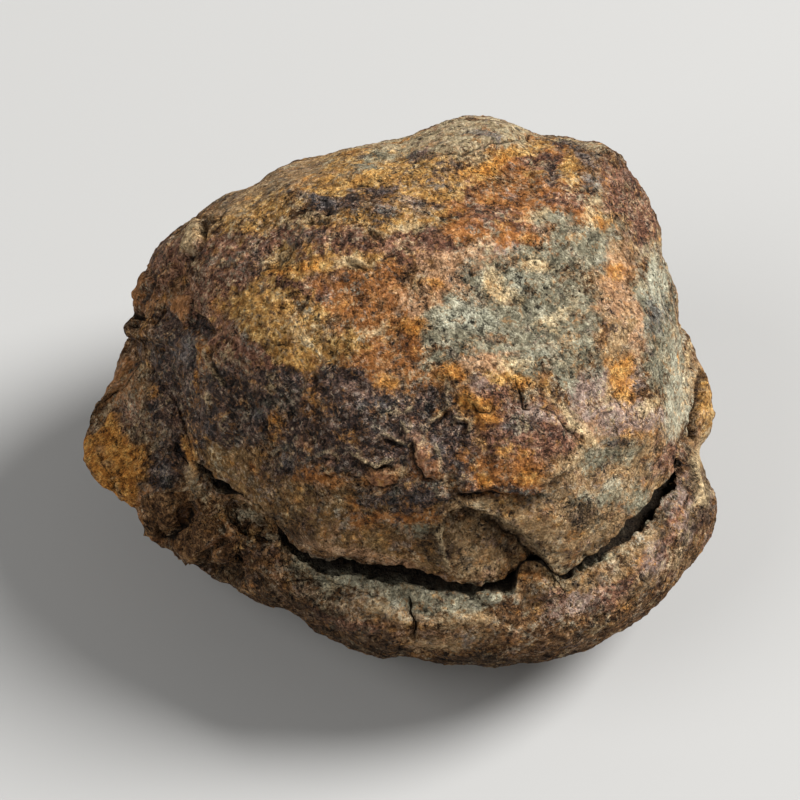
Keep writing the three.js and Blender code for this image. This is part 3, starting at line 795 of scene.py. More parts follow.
def reliefHeight(relief, u, v):
    # height of all the lines and hollows, the crack that is nearest, and how pale the ridges are
    height = formHeight(relief["hollows"], u, v)
    for rise, finish, ring in relief["flakes"]:
        height += rise * smooth(insideRing(ring, u, v), *lines["flakeEdge"])
    nearest, crackSide = np.full(len(u), 9.0), np.ones(len(u))
    crackNear, pale = np.zeros(len(u)), np.zeros(len(u))
    limit = lines["crackLimit"]
    for width, depth, line in relief["cracks"]:
        away, side, inside = lineDistance(line, u, v)
        fade = smooth(inside, *lines["crackEnds"])
        height -= depth * (1 - smooth(away, 0, width)) * fade
        nearer = away < nearest
        nearest = np.where(nearer, away, nearest)
        signed = np.clip(away * side / (lines["crackDark"] * width), -limit, limit)
        crackSide = np.where(nearer, signed, crackSide)
        # painted shade in the crack, darker the deeper it is
        dark = min(1, lines["crackTone"] + depth) * fade
        crackNear = np.where(nearer, (1 - smooth(away, *lines["crackReach"])) * dark, crackNear)
    for width, rise, tone, line in relief["ridges"]:
        away, side, inside = lineDistance(line, u, v)
        ridge = (1 - smooth(away, 0, width)) * smooth(inside, *lines["ridgeEnds"])
        height += rise * ridge
        pale = np.maximum(pale, tone * ridge)
    for rise, soft, reach, line in relief["steps"]:
        away, side, inside = lineDistance(line, u, v)
        share = smooth(away * side, -soft, soft) * (1 - smooth(away, 0, reach))
        height += rise * share * smooth(inside, *lines["stepEnds"])
    return height, crackSide, crackNear, pale


# Patches of each finish on the show face: u, v, half sizes and turn
patches = {
    "umber": (
        (-24.6, 9.8, 1.2, 2.6, -18), (-27, 1, 2.4, 3, 40), (-21.2, 8.4, 1.6, 1.6, 0),
        (-23, 6.5, 0.8, 1.2, 0), (-24, -12, 3, 3, 0), (-19, -14, 2.4, 2, 0),
    ),
    "olive": (
        (-12, -10, 7, 3.5, -30), (-5, -12.5, 8, 3.5, -12), (2, -14, 6, 3, -10),
        (-16.5, -6.5, 3.5, 2.2, -30), (13.4, -18.8, 2.2, 1.7, 10),
    ),
    "mauve": (
        (21, -2.6, 4.5, 1.9, 0), (19, 0.3, 2.5, 1.3, 0), (28.6, -12, 1.1, 4, -25), (13, -2.6, 2, 0.8, -10),
        (24.5, -16.5, 2, 1.2, 40), (22.9, 1.2, 0.8, 1.2, -10), (26.8, -10, 0.9, 2.6, -30),
        (8.5, 1, 1.2, 0.8, 0), (17, -20.4, 2.2, 0.9, 15), (9.6, 13.8, 1.6, 0.8, 0),
    ),
    "topTan": (
        (-2, 23.4, 4, 1.2, 14), (2, 24.6, 8, 1.6, 12), (10, 25.6, 5, 1.6, -12), (6, 23.8, 4, 1.2, 12),
        (17, 24.6, 3, 0.6, -15), (19.6, 18.8, 1.2, 1.6, 10), (24.5, 13.8, 1.5, 1.2, -20),
    ),
    "tan": (
        (-8, 22.5, 9, 1.8, 18), (-14, 19, 5, 1.5, 28), (-10, 20.4, 4, 1.2, 22), (17, -12, 8, 4.5, 20),
        (20, -8, 6, 4, 20), (10, -11, 6, 1.2, -5), (24, 14.3, 2, 1.4, -15), (21.6, 5, 1.3, 7, 0),
        (26.9, 7, 0.7, 6, -12), (25.8, -3.5, 1.8, 2, 0), (20.5, 18.6, 1, 2.2, 20), (20.8, 10.5, 1.4, 5, 0),
        (7, -15, 3.5, 3, -20), (-20.2, -8.5, 0.5, 2.5, 20), (29.6, -0.5, 1.3, 5, -3),
        (22, -18.5, 4, 1.6, 30), (28.9, -8, 0.6, 2.6, -12), (24.5, -13.5, 1, 3.6, -32),
        (-1, -21.2, 4, 0.9, -8), (6.5, -22.3, 4, 1, 0), (5, -24.2, 3.4, 1, 0), (17, -19, 3, 1.3, 15),
    ),
    "rust": (
        (13, 22.5, 4.5, 2, 8), (12, 18.5, 8, 2.6, -5), (8, 17, 5, 2.5, 0), (15, 19, 5, 2, -8),
        (11.5, 14.7, 3.5, 1.5, -15), (-3, 9, 4.5, 4.5, 0), (0, 7, 3.5, 4, 0), (-2, 4, 5, 2, 0),
        (-7, 10, 3, 2, 0), (3, -7.4, 2.2, 3, -25), (-1.3, -8.3, 1.7, 1, 10), (10, -8, 5, 2.3, -3),
        (-5, 1.5, 3, 1, 0), (-7.5, -8.3, 2.5, 0.8, -5), (0, -12.2, 4, 0.8, 3), (-19.3, 3, 0.6, 3, 0),
        (2, 1.5, 2.5, 1.5, 0), (-24.6, 10.7, 1, 2, -25),
    ),
    "maroon": (
        (-14, 11, 6, 4.5, -25), (-17, 8, 4, 4, 0), (-8, 15.2, 6, 1.8, 5), (-12.5, 14.5, 4, 2, 0),
        (22, 18.5, 1.8, 5, 28), (23.5, 15.8, 1.5, 2, 20), (12, -4, 5.5, 3, -12), (2.5, 14.2, 4, 1.5, 10),
        (-4, 14, 3, 0.8, 0), (10.5, 16.8, 4.5, 0.9, -6), (13.5, 22.4, 2.6, 1.2, 0), (9, 0.2, 2, 2.2, 0),
        (17, 19, 2, 1.5, -10), (26.3, -6, 1.3, 1.6, 0), (-23, 12.5, 2, 3, -35), (27, -11.5, 1.3, 4, -25),
        (20.6, -19.6, 2.4, 1.4, 25), (25.5, -16.5, 2, 1.6, 40), (15.4, -20.5, 2, 1, 10),
        (-26, -2.5, 2, 2, 0), (29, -13.5, 1, 3, -20), (-5, -22.6, 3.5, 0.7, -15),
        (-25.5, 9.5, 0.8, 2.5, -25), (6, 19.6, 3, 1, 0), (-13, 2.5, 6, 1.8, -10),
    ),
    "ochre": (
        (-13, 17.8, 2.5, 0.8, 25), (-7, 19.6, 4, 1.2, 16), (0, 21, 6, 2, 8), (3, 19.8, 4, 1.8, 5),
        (-13.5, 16.5, 3, 1.2, 15), (-10.5, 12.5, 3.2, 1.3, 15), (-7, 12.8, 2.5, 0.8, 15),
        (-3.5, 12.9, 2.2, 1, 0), (-6, 16.9, 3.5, 0.6, 8), (0.5, 16.7, 3.5, 1.1, 5), (-12, 7.5, 5, 3.4, -20),
        (-9.5, 4.2, 4.5, 2.2, -10), (-5, 4.5, 3, 1.4, 10), (8, 21.5, 2, 1, 15), (11, 23.4, 4, 0.6, 12),
        (16.5, 21.8, 1, 1.6, 0), (13.8, 21.2, 1.1, 0.7, 0), (12, 1.2, 2.2, 0.8, -35),
        (10.3, 1.8, 1.6, 1.2, 0), (20.3, 16.5, 1, 0.7, 0), (-3.5, 21.5, 4, 2, 0), (30.4, -0.6, 1, 3.6, -3),
    ),
    "pinkTan": (
        (5, 11, 3.2, 2.6, 0), (8.5, 12.5, 2.5, 2.2, 0), (3.5, 13, 2, 1, 0), (21, 10, 1.3, 4, 0),
        (21.5, 12.3, 1, 0.8, 0), (9, 4, 2, 1.8, 0), (10.3, 8.5, 1, 1, 0), (-4, -15.8, 3.8, 0.8, -12),
        (1.2, 9, 1, 1.5, 0), (18.8, -4, 1.6, 1, -20), (8.8, 2.6, 2.4, 1, -10), (-8, -14.8, 2, 0.5, -15),
        (23.2, 6.5, 0.9, 4, 0),
    ),
    "greyGreen": (
        (13, 10.5, 6.4, 3.6, -5), (6, 6.5, 4, 2.6, -20), (12.5, 6, 6, 3.2, 0), (17.5, 14, 3, 2.4, -10),
        (17, 8.5, 2.6, 4, 0), (15, 16.8, 2.5, 0.7, -10), (12.5, 2.6, 2.2, 1.4, 0), (16.5, 3, 3, 1.8, 0),
        (24.8, 8, 1.6, 5.2, -6), (26, 2.5, 1.5, 3.5, -5), (14.5, 4.5, 4, 3, 0), (19, 19.5, 0.9, 1.6, 10),
        (20, 15.8, 1.6, 1.2, 0), (20, -6.5, 3, 1, 10), (19.5, -10.4, 2.4, 0.8, 15), (4.8, 3.6, 2.6, 1, 10),
        (1.8, -13.2, 1.2, 0.7, 0), (23.5, -10.5, 1.3, 1.6, 30), (-2.6, 22.6, 2, 0.6, 20),
    ),
    "darkCrust": (
        (-21.5, 3, 2.4, 5.5, 12), (-22.5, -3, 1.7, 5, 8), (-20.5, -1, 2, 4.5, 5),
        (-16, -2.5, 3.6, 2.4, -15), (-17, 1, 1.8, 1.8, 0), (-12, -3, 3, 2, -10), (-6, -1.5, 6, 3.2, -10),
        (-1, -2, 5.5, 2.8, 0), (-7, -5.5, 5.5, 2.6, -5), (-1, -4.8, 6, 3, -5), (4.5, -4, 2.8, 4, -35),
        (1, -10, 4, 1.6, 5), (5.7, -7.5, 1.6, 2.4, 25), (-12, 0.5, 6, 1.7, -5),
        (-11.4, -6.9, 1.6, 1.7, -40), (-7.5, 18.3, 2.6, 0.7, -15), (-4.5, 18.5, 2, 0.7, 15),
        (-1.5, 17.4, 0.9, 0.9, 0), (-2, 19.2, 2, 0.6, 10), (4.6, 21.6, 1.4, 0.7, -25),
        (2.2, 23, 1.2, 0.4, 5), (16.2, 23.9, 1.3, 0.4, -5), (15.5, -8, 1.5, 0.5, 40),
        (11.5, -9, 2.5, 0.4, 0), (-14, 13, 1.5, 1, 0), (14.9, 21.2, 0.5, 0.9, 0), (-22.8, -8, 1.5, 2, 10),
        (21.5, -5.1, 2, 0.35, -5), (-9, 15, 2, 0.5, 10), (12.5, -3, 1.4, 0.8, 20),
    ),
    "slate": (
        (-8, 18.5, 2, 0.5, -15), (1.4, 18.5, 1.6, 0.6, -18), (2.2, 17.6, 1.2, 0.5, -10),
        (3.7, 20.2, 1.4, 0.35, 0), (-1.4, 17.6, 0.6, 0.7, 0), (19.3, 20.4, 0.8, 0.5, 0),
        (18.5, 22.5, 1.1, 0.4, -25), (8.2, 25.2, 1.6, 0.35, -8), (-21.2, 4, 0.8, 1.1, 0),
        (-18, -2.8, 0.6, 0.6, 0), (-13.8, -2.2, 0.8, 0.6, 0), (-22.7, -7.8, 0.6, 0.8, 0),
        (4.2, -5.6, 0.6, 1.2, 40), (0, -10.2, 2.6, 0.6, 0), (-2, -1.2, 2.4, 0.6, 10), (24.8, 8, 0.9, 3, -4),
        (10, -3.6, 1.1, 0.6, 0), (22.9, 1.2, 0.5, 0.8, 0), (-11.4, -6.6, 0.8, 0.6, -40),
        (-25.9, -7.2, 0.5, 0.5, 30), (-25, -9.4, 0.5, 0.8, 20),
    ),
    "blister": (
        (2.6, -6.5, 1, 2, 20), (-1.4, -8.4, 1.5, 0.9, 5), (-9.4, -4.9, 0.5, 0.4, 0),
        (8.7, -2.8, 1.1, 0.9, -20), (-6.8, -6.6, 0.6, 0.4, 10), (1.2, -2.6, 0.5, 0.3, 0),
    ),
    "mint": (
        (27.2, -1, 1.4, 3.4, -3), (6.6, 7.6, 2.6, 1.5, -20), (16.2, 0.7, 0.8, 0.5, 0),
        (11.5, 10.5, 1.2, 0.8, 0), (5, 7, 1.2, 0.7, -20), (13.5, 3.6, 1.2, 0.8, 0),
        (25, 10.5, 1.1, 2.6, -8), (26.9, 3, 0.5, 2, -4), (20.6, -9.2, 1.2, 0.5, 20),
    ),
    "cream": (
        (-4.2, 12.7, 1.8, 0.6, -10), (0.5, 16, 1.5, 0.3, 5), (7.7, 22.9, 1, 0.45, 0),
        (13.9, 17.3, 0.9, 0.4, 0), (19.2, 18.6, 0.6, 1, 10), (9, 11, 0.8, 1.2, 0),
        (10.5, 9.4, 1.4, 0.6, -30), (14.6, 7, 1.3, 0.5, 20), (13.6, 12.4, 1.3, 0.5, -10),
        (17.6, -3.4, 2, 0.45, -45), (-20, 15.5, 0.5, 0.6, 0), (-18.4, -0.6, 0.5, 0.5, 0),
        (-12.5, 13, 1.2, 0.35, 20), (-8.4, 16.9, 1.5, 0.25, 5), (24, -1.8, 1, 0.4, 40),
        (16.2, -6.8, 1, 0.35, 35), (-2, 6.2, 1.2, 0.5, 20), (-9.6, 6, 1.6, 0.8, -30),
        (11, 2.7, 1.1, 0.5, 10), (20.5, 0.4, 0.5, 1.2, 0), (28.2, 3.5, 0.3, 2.6, -8),
        (19, 17, 0.8, 0.5, 30), (28.9, -7.2, 0.6, 2.4, -10), (29.5, -10, 0.8, 2, -25),
    ),
    "orange": (
        (5, 1.8, 1.7, 0.7, -10), (7.6, -0.9, 2, 1.3, -35), (8.7, -2.6, 1.2, 1, -20), (22, 1.9, 1.3, 2, -10),
        (21.6, -0.3, 1.1, 0.8, 0), (23.2, -4.3, 0.8, 0.4, 0), (-8.5, 1.4, 0.5, 0.6, 0),
        (-8.5, -0.1, 0.4, 0.5, 0), (-4.6, -4.1, 0.8, 0.45, 0), (-12, -2.8, 0.6, 0.7, 0),
        (-12.1, -4, 0.7, 0.6, 0), (10, -5.8, 0.6, 0.4, 0), (12.3, -6, 0.5, 0.4, 0),
        (12.4, -7.8, 0.7, 0.4, 0), (8.2, -8.4, 0.5, 0.4, 0), (3.9, -2.2, 0.7, 0.35, 35),
        (-0.8, 0.9, 1, 0.5, 0), (8, 21.4, 1.6, 0.7, 15), (10.2, 22.8, 1.2, 0.5, 30),
        (1.6, 6.6, 0.8, 0.6, 0), (-9.4, 12.4, 2, 0.5, 15), (11.6, 1.4, 0.9, 0.9, 0),
        (-19.6, 3, 0.25, 1.4, 0), (-24, 0, 0.4, 0.4, 0), (-28, -6.6, 1.1, 0.6, -50),
        (-27, -7.6, 1.4, 0.7, -60), (-27.8, -3.2, 0.5, 1.1, 0), (-26.9, -9.6, 1.6, 0.5, -60),
        (4.2, 10.6, 0.9, 0.6, 0), (20.3, 16.6, 0.7, 0.6, 0), (21.2, 12, 0.9, 0.5, 0),
        (-20.7, -5.5, 0.3, 1.3, 20),
    ),
    "seamGrey": (
        (-15, -12, 2.2, 0.9, -38), (-12.6, -14, 1.4, 0.8, -35), (-8.5, -16.8, 3, 1, -28),
        (-2, -18.6, 6, 1.3, -10), (4, -19.6, 6, 1.4, -5), (0, -19.6, 9, 1.2, -8), (10, -19.8, 3, 0.9, 0),
        (17.5, -16.8, 3, 0.6, 22), (28, -5.6, 0.5, 0.6, 0), (6, -20.8, 4, 0.8, -8),
    ),
    # near-black patches: painted shade in recesses, under the blocks and the lip and along the scar's wall,
    # with some dirt
    "shadeAndDirt": (
        (9.8, -13, 3, 0.5, -30), (12.6, -15, 1.8, 0.7, -42), (13.7, -16.6, 0.7, 0.8, 0),
        (7.2, -12, 1.6, 0.35, -8), (-22, -13.6, 2.6, 1.2, 30), (-17.5, -17.8, 2.6, 1.1, -15),
        (-6, -23, 9, 1.6, -25), (8, -26.8, 10, 1.4, 0), (-19, -17, 3, 2, -30), (-11.5, -19.6, 3, 0.8, -25),
        (29.8, -9, 0.6, 2.4, -5), (29.4, -13, 1, 3, -20), (25.6, -13.4, 0.6, 1.6, 20),
        (23.8, -18.4, 1.4, 1, 30), (28.2, -9, 0.9, 3, 0), (17.6, -11.8, 1.8, 1.3, 0),
        (-10, -13.5, 3, 1.4, -30), (4, -14.6, 2.6, 1.4, -30), (9.5, -14, 2.4, 1, -30),
    ),
}

# How the masks of the finishes are laid on the skin
wear = {
    "driftSize": 5.5,          # mm, wander of the patches' edges
    "drift": 1.1,
    "fineDriftSize": 1.7,
    "fineDrift": 0.7,
    "hiddenDriftSize": 11,     # round the back the same patches come out of place
    "hiddenDrift": 7,
    "wandering": 3,            # patches of this size and more wander fully
    "deepest": 1,
    "windowSize": 2.6,
    "windows": 0.9,
    "seamGreyOnSkin": 0.6,     # how much less of it there is on the skin
    "seamGreyInSeam": -0.2,    # the least of it on the ledge
    "streakSize": 0.8,         # streaks along the lip
    "streakTurn": 12,          # degrees of the lip that one streak takes
    "maroonStreaks": 1.6,
    "tanStreaks": 1.2,
    "bareFlake": 0.4,          # other finishes end this far inside a flake's edge
    "bareSlope": 4,
    "flakeSlope": 3,
    "scarShade": 1.1,           # mm of painted shadow along the wall of a scar
    "scarSlope": 1.6,
    "coverRun": (-0.5, 0.5),
    "maroonCrust": 0.6,        # how much the maroon counts as dark crust
    "ochrePits": 0.7,
    "holeRun": (-0.1, 0.15),
    "gapShadeRun": (-1, 0.15),
    "filletUnshaded": (0.3, 1.2), # no painted shade where the fillet is this high
    "hollowDepth": 0.35,
}

# Fine relief, mm: size of each kind of roughness and its height
grain = {
    "rough": (2.2, 0.18),
    "fine": (0.8, 0.15),
    "crustGrain": (0.95, 0.28),
    "facets": (3, 0.4),
    "rubble": (1.3, 1.7),
    "pits": (0.7, 0.2),
    "wander": 0.45,            # how lines and steps wander
    "calmRough": 0.5,          # how much weaker each is on the calm finishes
    "calmFine": 0.4,
    "calmPits": 0.8,
    "pitRun": (0.12, 0.5),
    "pitsAnywhere": 0.25,
    "nibbleRun": (0.3, 1.8),
    "rubbleRun": (0.7, 1.1),
    "deepest": -2.3,
    "highest": 0.9,
    "highestInSeam": (0.3, 0.6),   # at the wall, and how much more further out
    "seamWall": (0.3, 1),
    "seamShown": (-1.6, -0.1),
    "floorMargin": 0.35,
}

# Places on the show face: middle, half sizes, turn, and the radius at which the effect ends and is full
areas = {
    "lip": ((25, -14), (8, 9), -35, 1.2, 0.5),
    "leftBreak": ((-20, -14), (8, 6), -30, 1.2, 0.5),
    "leftFlakes": ((-24, 9), (4, 8), -15, 1.2, 0.5),
    "nose": ((-26, -4), (7, 8), 0, 1.2, 0.6),
}
# how much of the facets shows there, everywhere, in the seam and under the front
broken = {"leftBreak": 1, "leftFlakes": 0.8, "nose": 0.7}
brokenElse = {"anywhere": 0.12, "seam": 0.45, "front": 0.35, "frontRun": (-17, -21)}

# another number gives another pattern of the same kind
seeds = {
    "driftU": 3, "driftV": 17, "fineU": 31, "fineV": 47, "hiddenU": 5, "hiddenV": 9,
    "windows": 90, "windowStep": 7, "streaks": 23, "rough": 61, "fine": 71, "crustGrain": 5,
    "pits": 83, "nibbles": 37, "facets": 7, "rubble": 13,
}


def patchField(finish, u, v, driftU, driftV):
    # mm inside the nearest patch, negative outside; the edges of the large ones wander more
    field = np.full(len(u), -float(wear["deepest"]))
    for pu, pv, halfU, halfV, turn in patches[finish]:
        size = math.sqrt(halfU * halfV)
        share = min(1, size / wear["wandering"])
        radius = ovalRadius(u + driftU * share, v + driftV * share, (pu, pv), (halfU, halfV), turn)
        field = np.maximum(field, (1 - radius) * size)
    return np.minimum(field, wear["deepest"])


def addField(mesh, name, values):
    mesh.attributes.new(name, "FLOAT", "POINT").data.foreach_set("value", values.astype(np.float32))


def areaShare(name, u, v):
    at, half, turn, end, full = areas[name]
    return smooth(ovalRadius(u, v, at, half, turn), end, full)


def layFinishes(half, points, u, v, shown, fine):
    # how far inside each finish every point lies
    angle, offset = overhangOf(points[:, 0], points[:, 1])
    driftU = roughNoise(points, wear["driftSize"], seeds["driftU"]) * wear["drift"] + fine[0]
    driftV = roughNoise(points, wear["driftSize"], seeds["driftV"]) * wear["drift"] + fine[1]
    hidden = wear["hiddenDrift"] * (1 - shown)
    hiddenU = u + softNoise(points, wear["hiddenDriftSize"], seeds["hiddenU"]) * hidden
    hiddenV = v + softNoise(points, wear["hiddenDriftSize"], seeds["hiddenV"]) * hidden
    fields = {}
    for index, finish in enumerate(patches):
        seed = seeds["windows"] + seeds["windowStep"] * index
        windows = roughNoise(points, wear["windowSize"], seed, 3) * wear["windows"]
        fields[finish] = patchField(finish, hiddenU, hiddenV, driftU, driftV) + windows
    grey = fields["seamGrey"]
    fields["seamGrey"] = np.where(half["skin"], grey - wear["seamGreyOnSkin"],
                                  np.maximum(grey, wear["seamGreyInSeam"]))
    if half["side"] < 0:
        along = np.column_stack((offset, angle / wear["streakTurn"], 0 * u))
        streaks = roughNoise(along, wear["streakSize"], seeds["streaks"]) * areaShare("lip", u, v) * shown
        fields["maroon"] += wear["maroonStreaks"] * streaks
        fields["tan"] -= wear["tanStreaks"] * streaks
    return fields


def markFlakes(half, fields, lineU, lineV, shown):
    # flakes keep their own finish, scars get painted shadow along their wall; gives back where the holes are
    hole = np.zeros(len(lineU))
    for rise, finish, ring in half["relief"]["flakes"]:
        within = np.where(shown > 0.02, insideRing(ring, lineU, lineV), -9)
        # a hole is painted black as the shade inside it
        if finish == "hole":
            hole = np.maximum(hole, smooth(within, *wear["holeRun"]))
        for other in fields:
            fields[other] = np.minimum(fields[other], wear["bareFlake"] - wear["bareSlope"] * within)
        if finish in fields:
            fields[finish] = np.maximum(fields[finish], np.clip(wear["flakeSlope"] * within, -1, 1))
    # painted shadow under the overhanging wall of each scar, darkest at the wall
    for deep, reach, wall, edge in half["scars"]:
        away, side, inside = lineDistance(wall, lineU, lineV)
        band = np.where((side > 0) & (inside > 0), wear["scarShade"] - away, -1)
        fields["shadeAndDirt"] = np.maximum(fields["shadeAndDirt"], np.clip(wear["scarSlope"] * band, -1, 1))
    return hole


def fineRelief(points, fields):
    # roughness, crust grains and pits, by how much of each finish covers the place
    cover = {finish: smooth(fields[finish], *wear["coverRun"]) for finish in fields}
    crust = np.maximum(cover["darkCrust"], wear["maroonCrust"] * cover["maroon"])
    calm = np.maximum(cover["tan"], cover["olive"]) * (1 - crust)
    size, high = grain["rough"]
    height = high * roughNoise(points, size, seeds["rough"]) * (1 - grain["calmRough"] * calm)
    size, high = grain["fine"]
    height += high * roughNoise(points, size, seeds["fine"], 2) * (1 - grain["calmFine"] * calm)
    size, high = grain["crustGrain"]
    height += high * grains(points, size, seeds["crustGrain"]) * crust
    size, deep = grain["pits"]
    pitted = np.maximum(cover["greyGreen"], wear["ochrePits"] * cover["ochre"])
    pitted = grain["pitsAnywhere"] + (1 - grain["pitsAnywhere"]) * pitted
    pits = smooth(softNoise(points, size, seeds["pits"]), *grain["pitRun"])
    return height - deep * pits * pitted * (1 - grain["calmPits"] * calm)


def breakage(half, points, u, v, shown):
    # facets where the stone is broken, and bits off the edge of the upper half
    height = np.zeros(len(u))
    if half["side"] > 0:
        edgeHeight = points[:, 2] - partingOf(half, points[:, 0], points[:, 1])
        near = 1 - smooth(edgeHeight, *grain["nibbleRun"])
        for size, deep in seam["nibbles"]:
            height -= deep * np.maximum(softNoise(points, size, seeds["nibbles"]), 0) * near
    share = np.full(len(u), brokenElse["anywhere"])
    for name, much in broken.items():
        share = np.maximum(share, much * areaShare(name, u, v) * shown)
    if half["side"] < 0:
        share = np.maximum(share, brokenElse["seam"] * (1 - half["skin"]))
        share = np.maximum(share, brokenElse["front"] * smooth(v, *brokenElse["frontRun"]) * shown)
    size, high = grain["facets"]
    height += high * facets(points, size, seeds["facets"]) * share
    if half["side"] < 0:
        small, tall = grain["rubble"]
        for at, size, turn in rubble:
            share = 1 - smooth(ovalRadius(u, v, at, size, turn), *grain["rubbleRun"])
            height += tall * facets(points, small, seeds["rubble"]) * share
    return height


def carveHalf(half, mesh):
    points = getPoints(mesh)
    normals = getNormals(mesh)
    u, v, scale = toFace(points)
    shown = smooth(normals @ faceOut, *show["facingFine"])
    angle, offset = overhangOf(points[:, 0], points[:, 1])

    fine = [roughNoise(points, wear["fineDriftSize"], seeds[name]) * wear["fineDrift"]
            for name in ("fineU", "fineV")]
    fields = layFinishes(half, points, u, v, shown, fine)
    lineU = u + fine[0] * grain["wander"]
    lineV = v + fine[1] * grain["wander"]
    height, crackSide, crackNear, pale = reliefHeight(half["relief"], lineU, lineV)
    hole = markFlakes(half, fields, lineU, lineV, shown)
    fineHeight = fineRelief(points, fields)
    height = height * shown + fineHeight + breakage(half, points, u, v, shown)
    height = np.clip(height, grain["deepest"], grain["highest"])
    height *= np.where(half["skin"], 1, smooth(offset, *grain["seamShown"]))
    if half["side"] < 0:
        atWall, further = grain["highestInSeam"]
        most = atWall + further * smooth(offset, *grain["seamWall"])
        height = np.where(half["skin"], height, np.minimum(height, most))

    onFloor = points[:, 2] < grain["floorMargin"]
    height = np.where(onFloor, np.minimum(height, 0), height)
    points = points + normals * height[:, None]
    points[:, 2] = np.maximum(points[:, 2], 0)
    setPoints(mesh, points)
    for finish, field in fields.items():
        addField(mesh, finish, field)
    # how far the fine relief sinks, for painted shade in its hollows
    addField(mesh, "hollow", np.clip(-fineHeight / wear["hollowDepth"], -1, 1))
    addField(mesh, "crackSide", crackSide)
    addField(mesh, "crackNear", crackNear * shown)
    addField(mesh, "pale", pale * shown)
    # painted shade in the gap under the edge of the upper half, fading outwards; painted black in the holes
    ragged = offset + lumps(seam["ragged"], points * (1, 1, 0) + (0, 0, stone["seamHeight"]))
    gapShade = 1 - smooth(ragged / curve(seam["shadeAndDirt"], angle), *wear["gapShadeRun"])
    gapShade *= 1 - smooth(curve(seam["fillet"], angle), *wear["filletUnshaded"])
    addField(mesh, "inside", np.where(half["skin"], hole, gapShade))
    print("carved", half["node"])


# Finishes from the bottom up: tones dark to light, how ragged the edge is (mm), how wide the tones lie apart
# (more is calmer), how strong its grain shows, cover and roughness
finishes = {
    "base": {"tones": ((0.033, 0.015, 0.006), (0.116, 0.057, 0.024), (0.264, 0.149, 0.066)), "spread": 1,
             "grain": 0.9, "rough": 0.85},
    "umber": {"tones": ((0.075, 0.033, 0.012), (0.275, 0.12, 0.044), (0.47, 0.25, 0.115)), "edge": 0.4,
              "spread": 1.4, "grain": 0.5, "rough": 0.85},
    "olive": {"tones": ((0.043, 0.022, 0.009), (0.134, 0.076, 0.03), (0.28, 0.174, 0.078)), "edge": 0.9,
              "spread": 1.3, "grain": 0.6, "rough": 0.85},
    "tan": {"tones": ((0.11, 0.062, 0.026), (0.285, 0.18, 0.087), (0.49, 0.345, 0.19)), "edge": 0.8,
            "spread": 1.4, "grain": 0.6, "rough": 0.85},
    "topTan": {"tones": ((0.149, 0.109, 0.057), (0.333, 0.259, 0.149), (0.517, 0.437, 0.287)), "edge": 0.8,
               "spread": 1.5, "grain": 0.5, "rough": 0.85},
    "rust": {"tones": ((0.066, 0.02, 0.004), (0.264, 0.101, 0.028), (0.506, 0.242, 0.088)), "edge": 1,
             "spread": 1.5, "grain": 0.6, "rough": 0.8},
    "maroon": {"tones": ((0.044, 0.018, 0.01), (0.18, 0.079, 0.046), (0.37, 0.2, 0.122)), "edge": 1,
               "spread": 1, "grain": 0.85, "rough": 0.75},
    "mauve": {"tones": ((0.081, 0.048, 0.039), (0.27, 0.184, 0.144), (0.483, 0.38, 0.31)), "edge": 0.9,
              "spread": 1.6, "grain": 0.6, "rough": 0.8},
    "ochre": {"tones": ((0.137, 0.056, 0.013), (0.395, 0.208, 0.058), (0.69, 0.465, 0.188)), "edge": 0.9,
              "spread": 1.35, "grain": 0.7, "rough": 0.85},
    "pinkTan": {"tones": ((0.14, 0.065, 0.029), (0.4, 0.227, 0.119), (0.648, 0.464, 0.292)), "edge": 0.9,
                "spread": 1.6, "grain": 0.6, "rough": 0.85},
    "greyGreen": {"tones": ((0.053, 0.046, 0.029), (0.186, 0.167, 0.11), (0.43, 0.395, 0.28)), "edge": 0.9,
                  "spread": 1.5, "grain": 0.55, "rough": 0.85},
    "seamGrey": {"tones": ((0.062, 0.054, 0.036), (0.235, 0.212, 0.142), (0.47, 0.435, 0.31)), "edge": 0.5,
                 "spread": 1.4, "grain": 0.6, "rough": 0.85},
    "darkCrust": {"tones": ((0.013, 0.008, 0.006), (0.052, 0.028, 0.021), (0.2, 0.118, 0.082)), "edge": 1,
                  "spread": 0.85, "grain": 1.05, "rough": 0.45},
    "slate": {"tones": ((0.044, 0.041, 0.04), (0.12, 0.116, 0.117), (0.25, 0.242, 0.236)), "edge": 0.4,
              "spread": 1, "grain": 1, "rough": 0.55, "cover": 0.6},
    "blister": {"tones": ((0.085, 0.034, 0.016), (0.25, 0.115, 0.06), (0.42, 0.24, 0.135)), "edge": 0.4,
                "spread": 1.3, "grain": 0.45, "rough": 0.75, "cover": 0.9},
    "mint": {"tones": ((0.19, 0.175, 0.117), (0.385, 0.37, 0.268), (0.53, 0.52, 0.4)), "edge": 0.5,
             "spread": 1.7, "grain": 0.5, "rough": 0.85, "cover": 0.8},
    "cream": {"tones": ((0.3, 0.195, 0.09), (0.57, 0.41, 0.215), (0.78, 0.63, 0.38)), "edge": 0.4,
              "spread": 1.5, "grain": 0.6, "rough": 0.8, "cover": 0.8},
    "orange": {"tones": ((0.19, 0.056, 0.009), (0.448, 0.185, 0.034), (0.672, 0.381, 0.106)), "edge": 0.5,
               "spread": 1.4, "grain": 0.65, "rough": 0.8, "cover": 0.85},
    # near-black finish: painted shade, with some dirt
    "shadeAndDirt": {"tones": ((0.011, 0.008, 0.004), (0.039, 0.024, 0.014), (0.094, 0.064, 0.04)), "edge": 0.9,
             "spread": 1.1, "grain": 1, "rough": 0.9, "cover": 0.7},
}
layerOrder = (
    "umber", "olive", "tan", "topTan", "rust", "maroon", "mauve", "ochre", "pinkTan", "greyGreen", "seamGrey",
    "darkCrust", "slate", "blister", "mint", "cream", "orange", "shadeAndDirt",
)

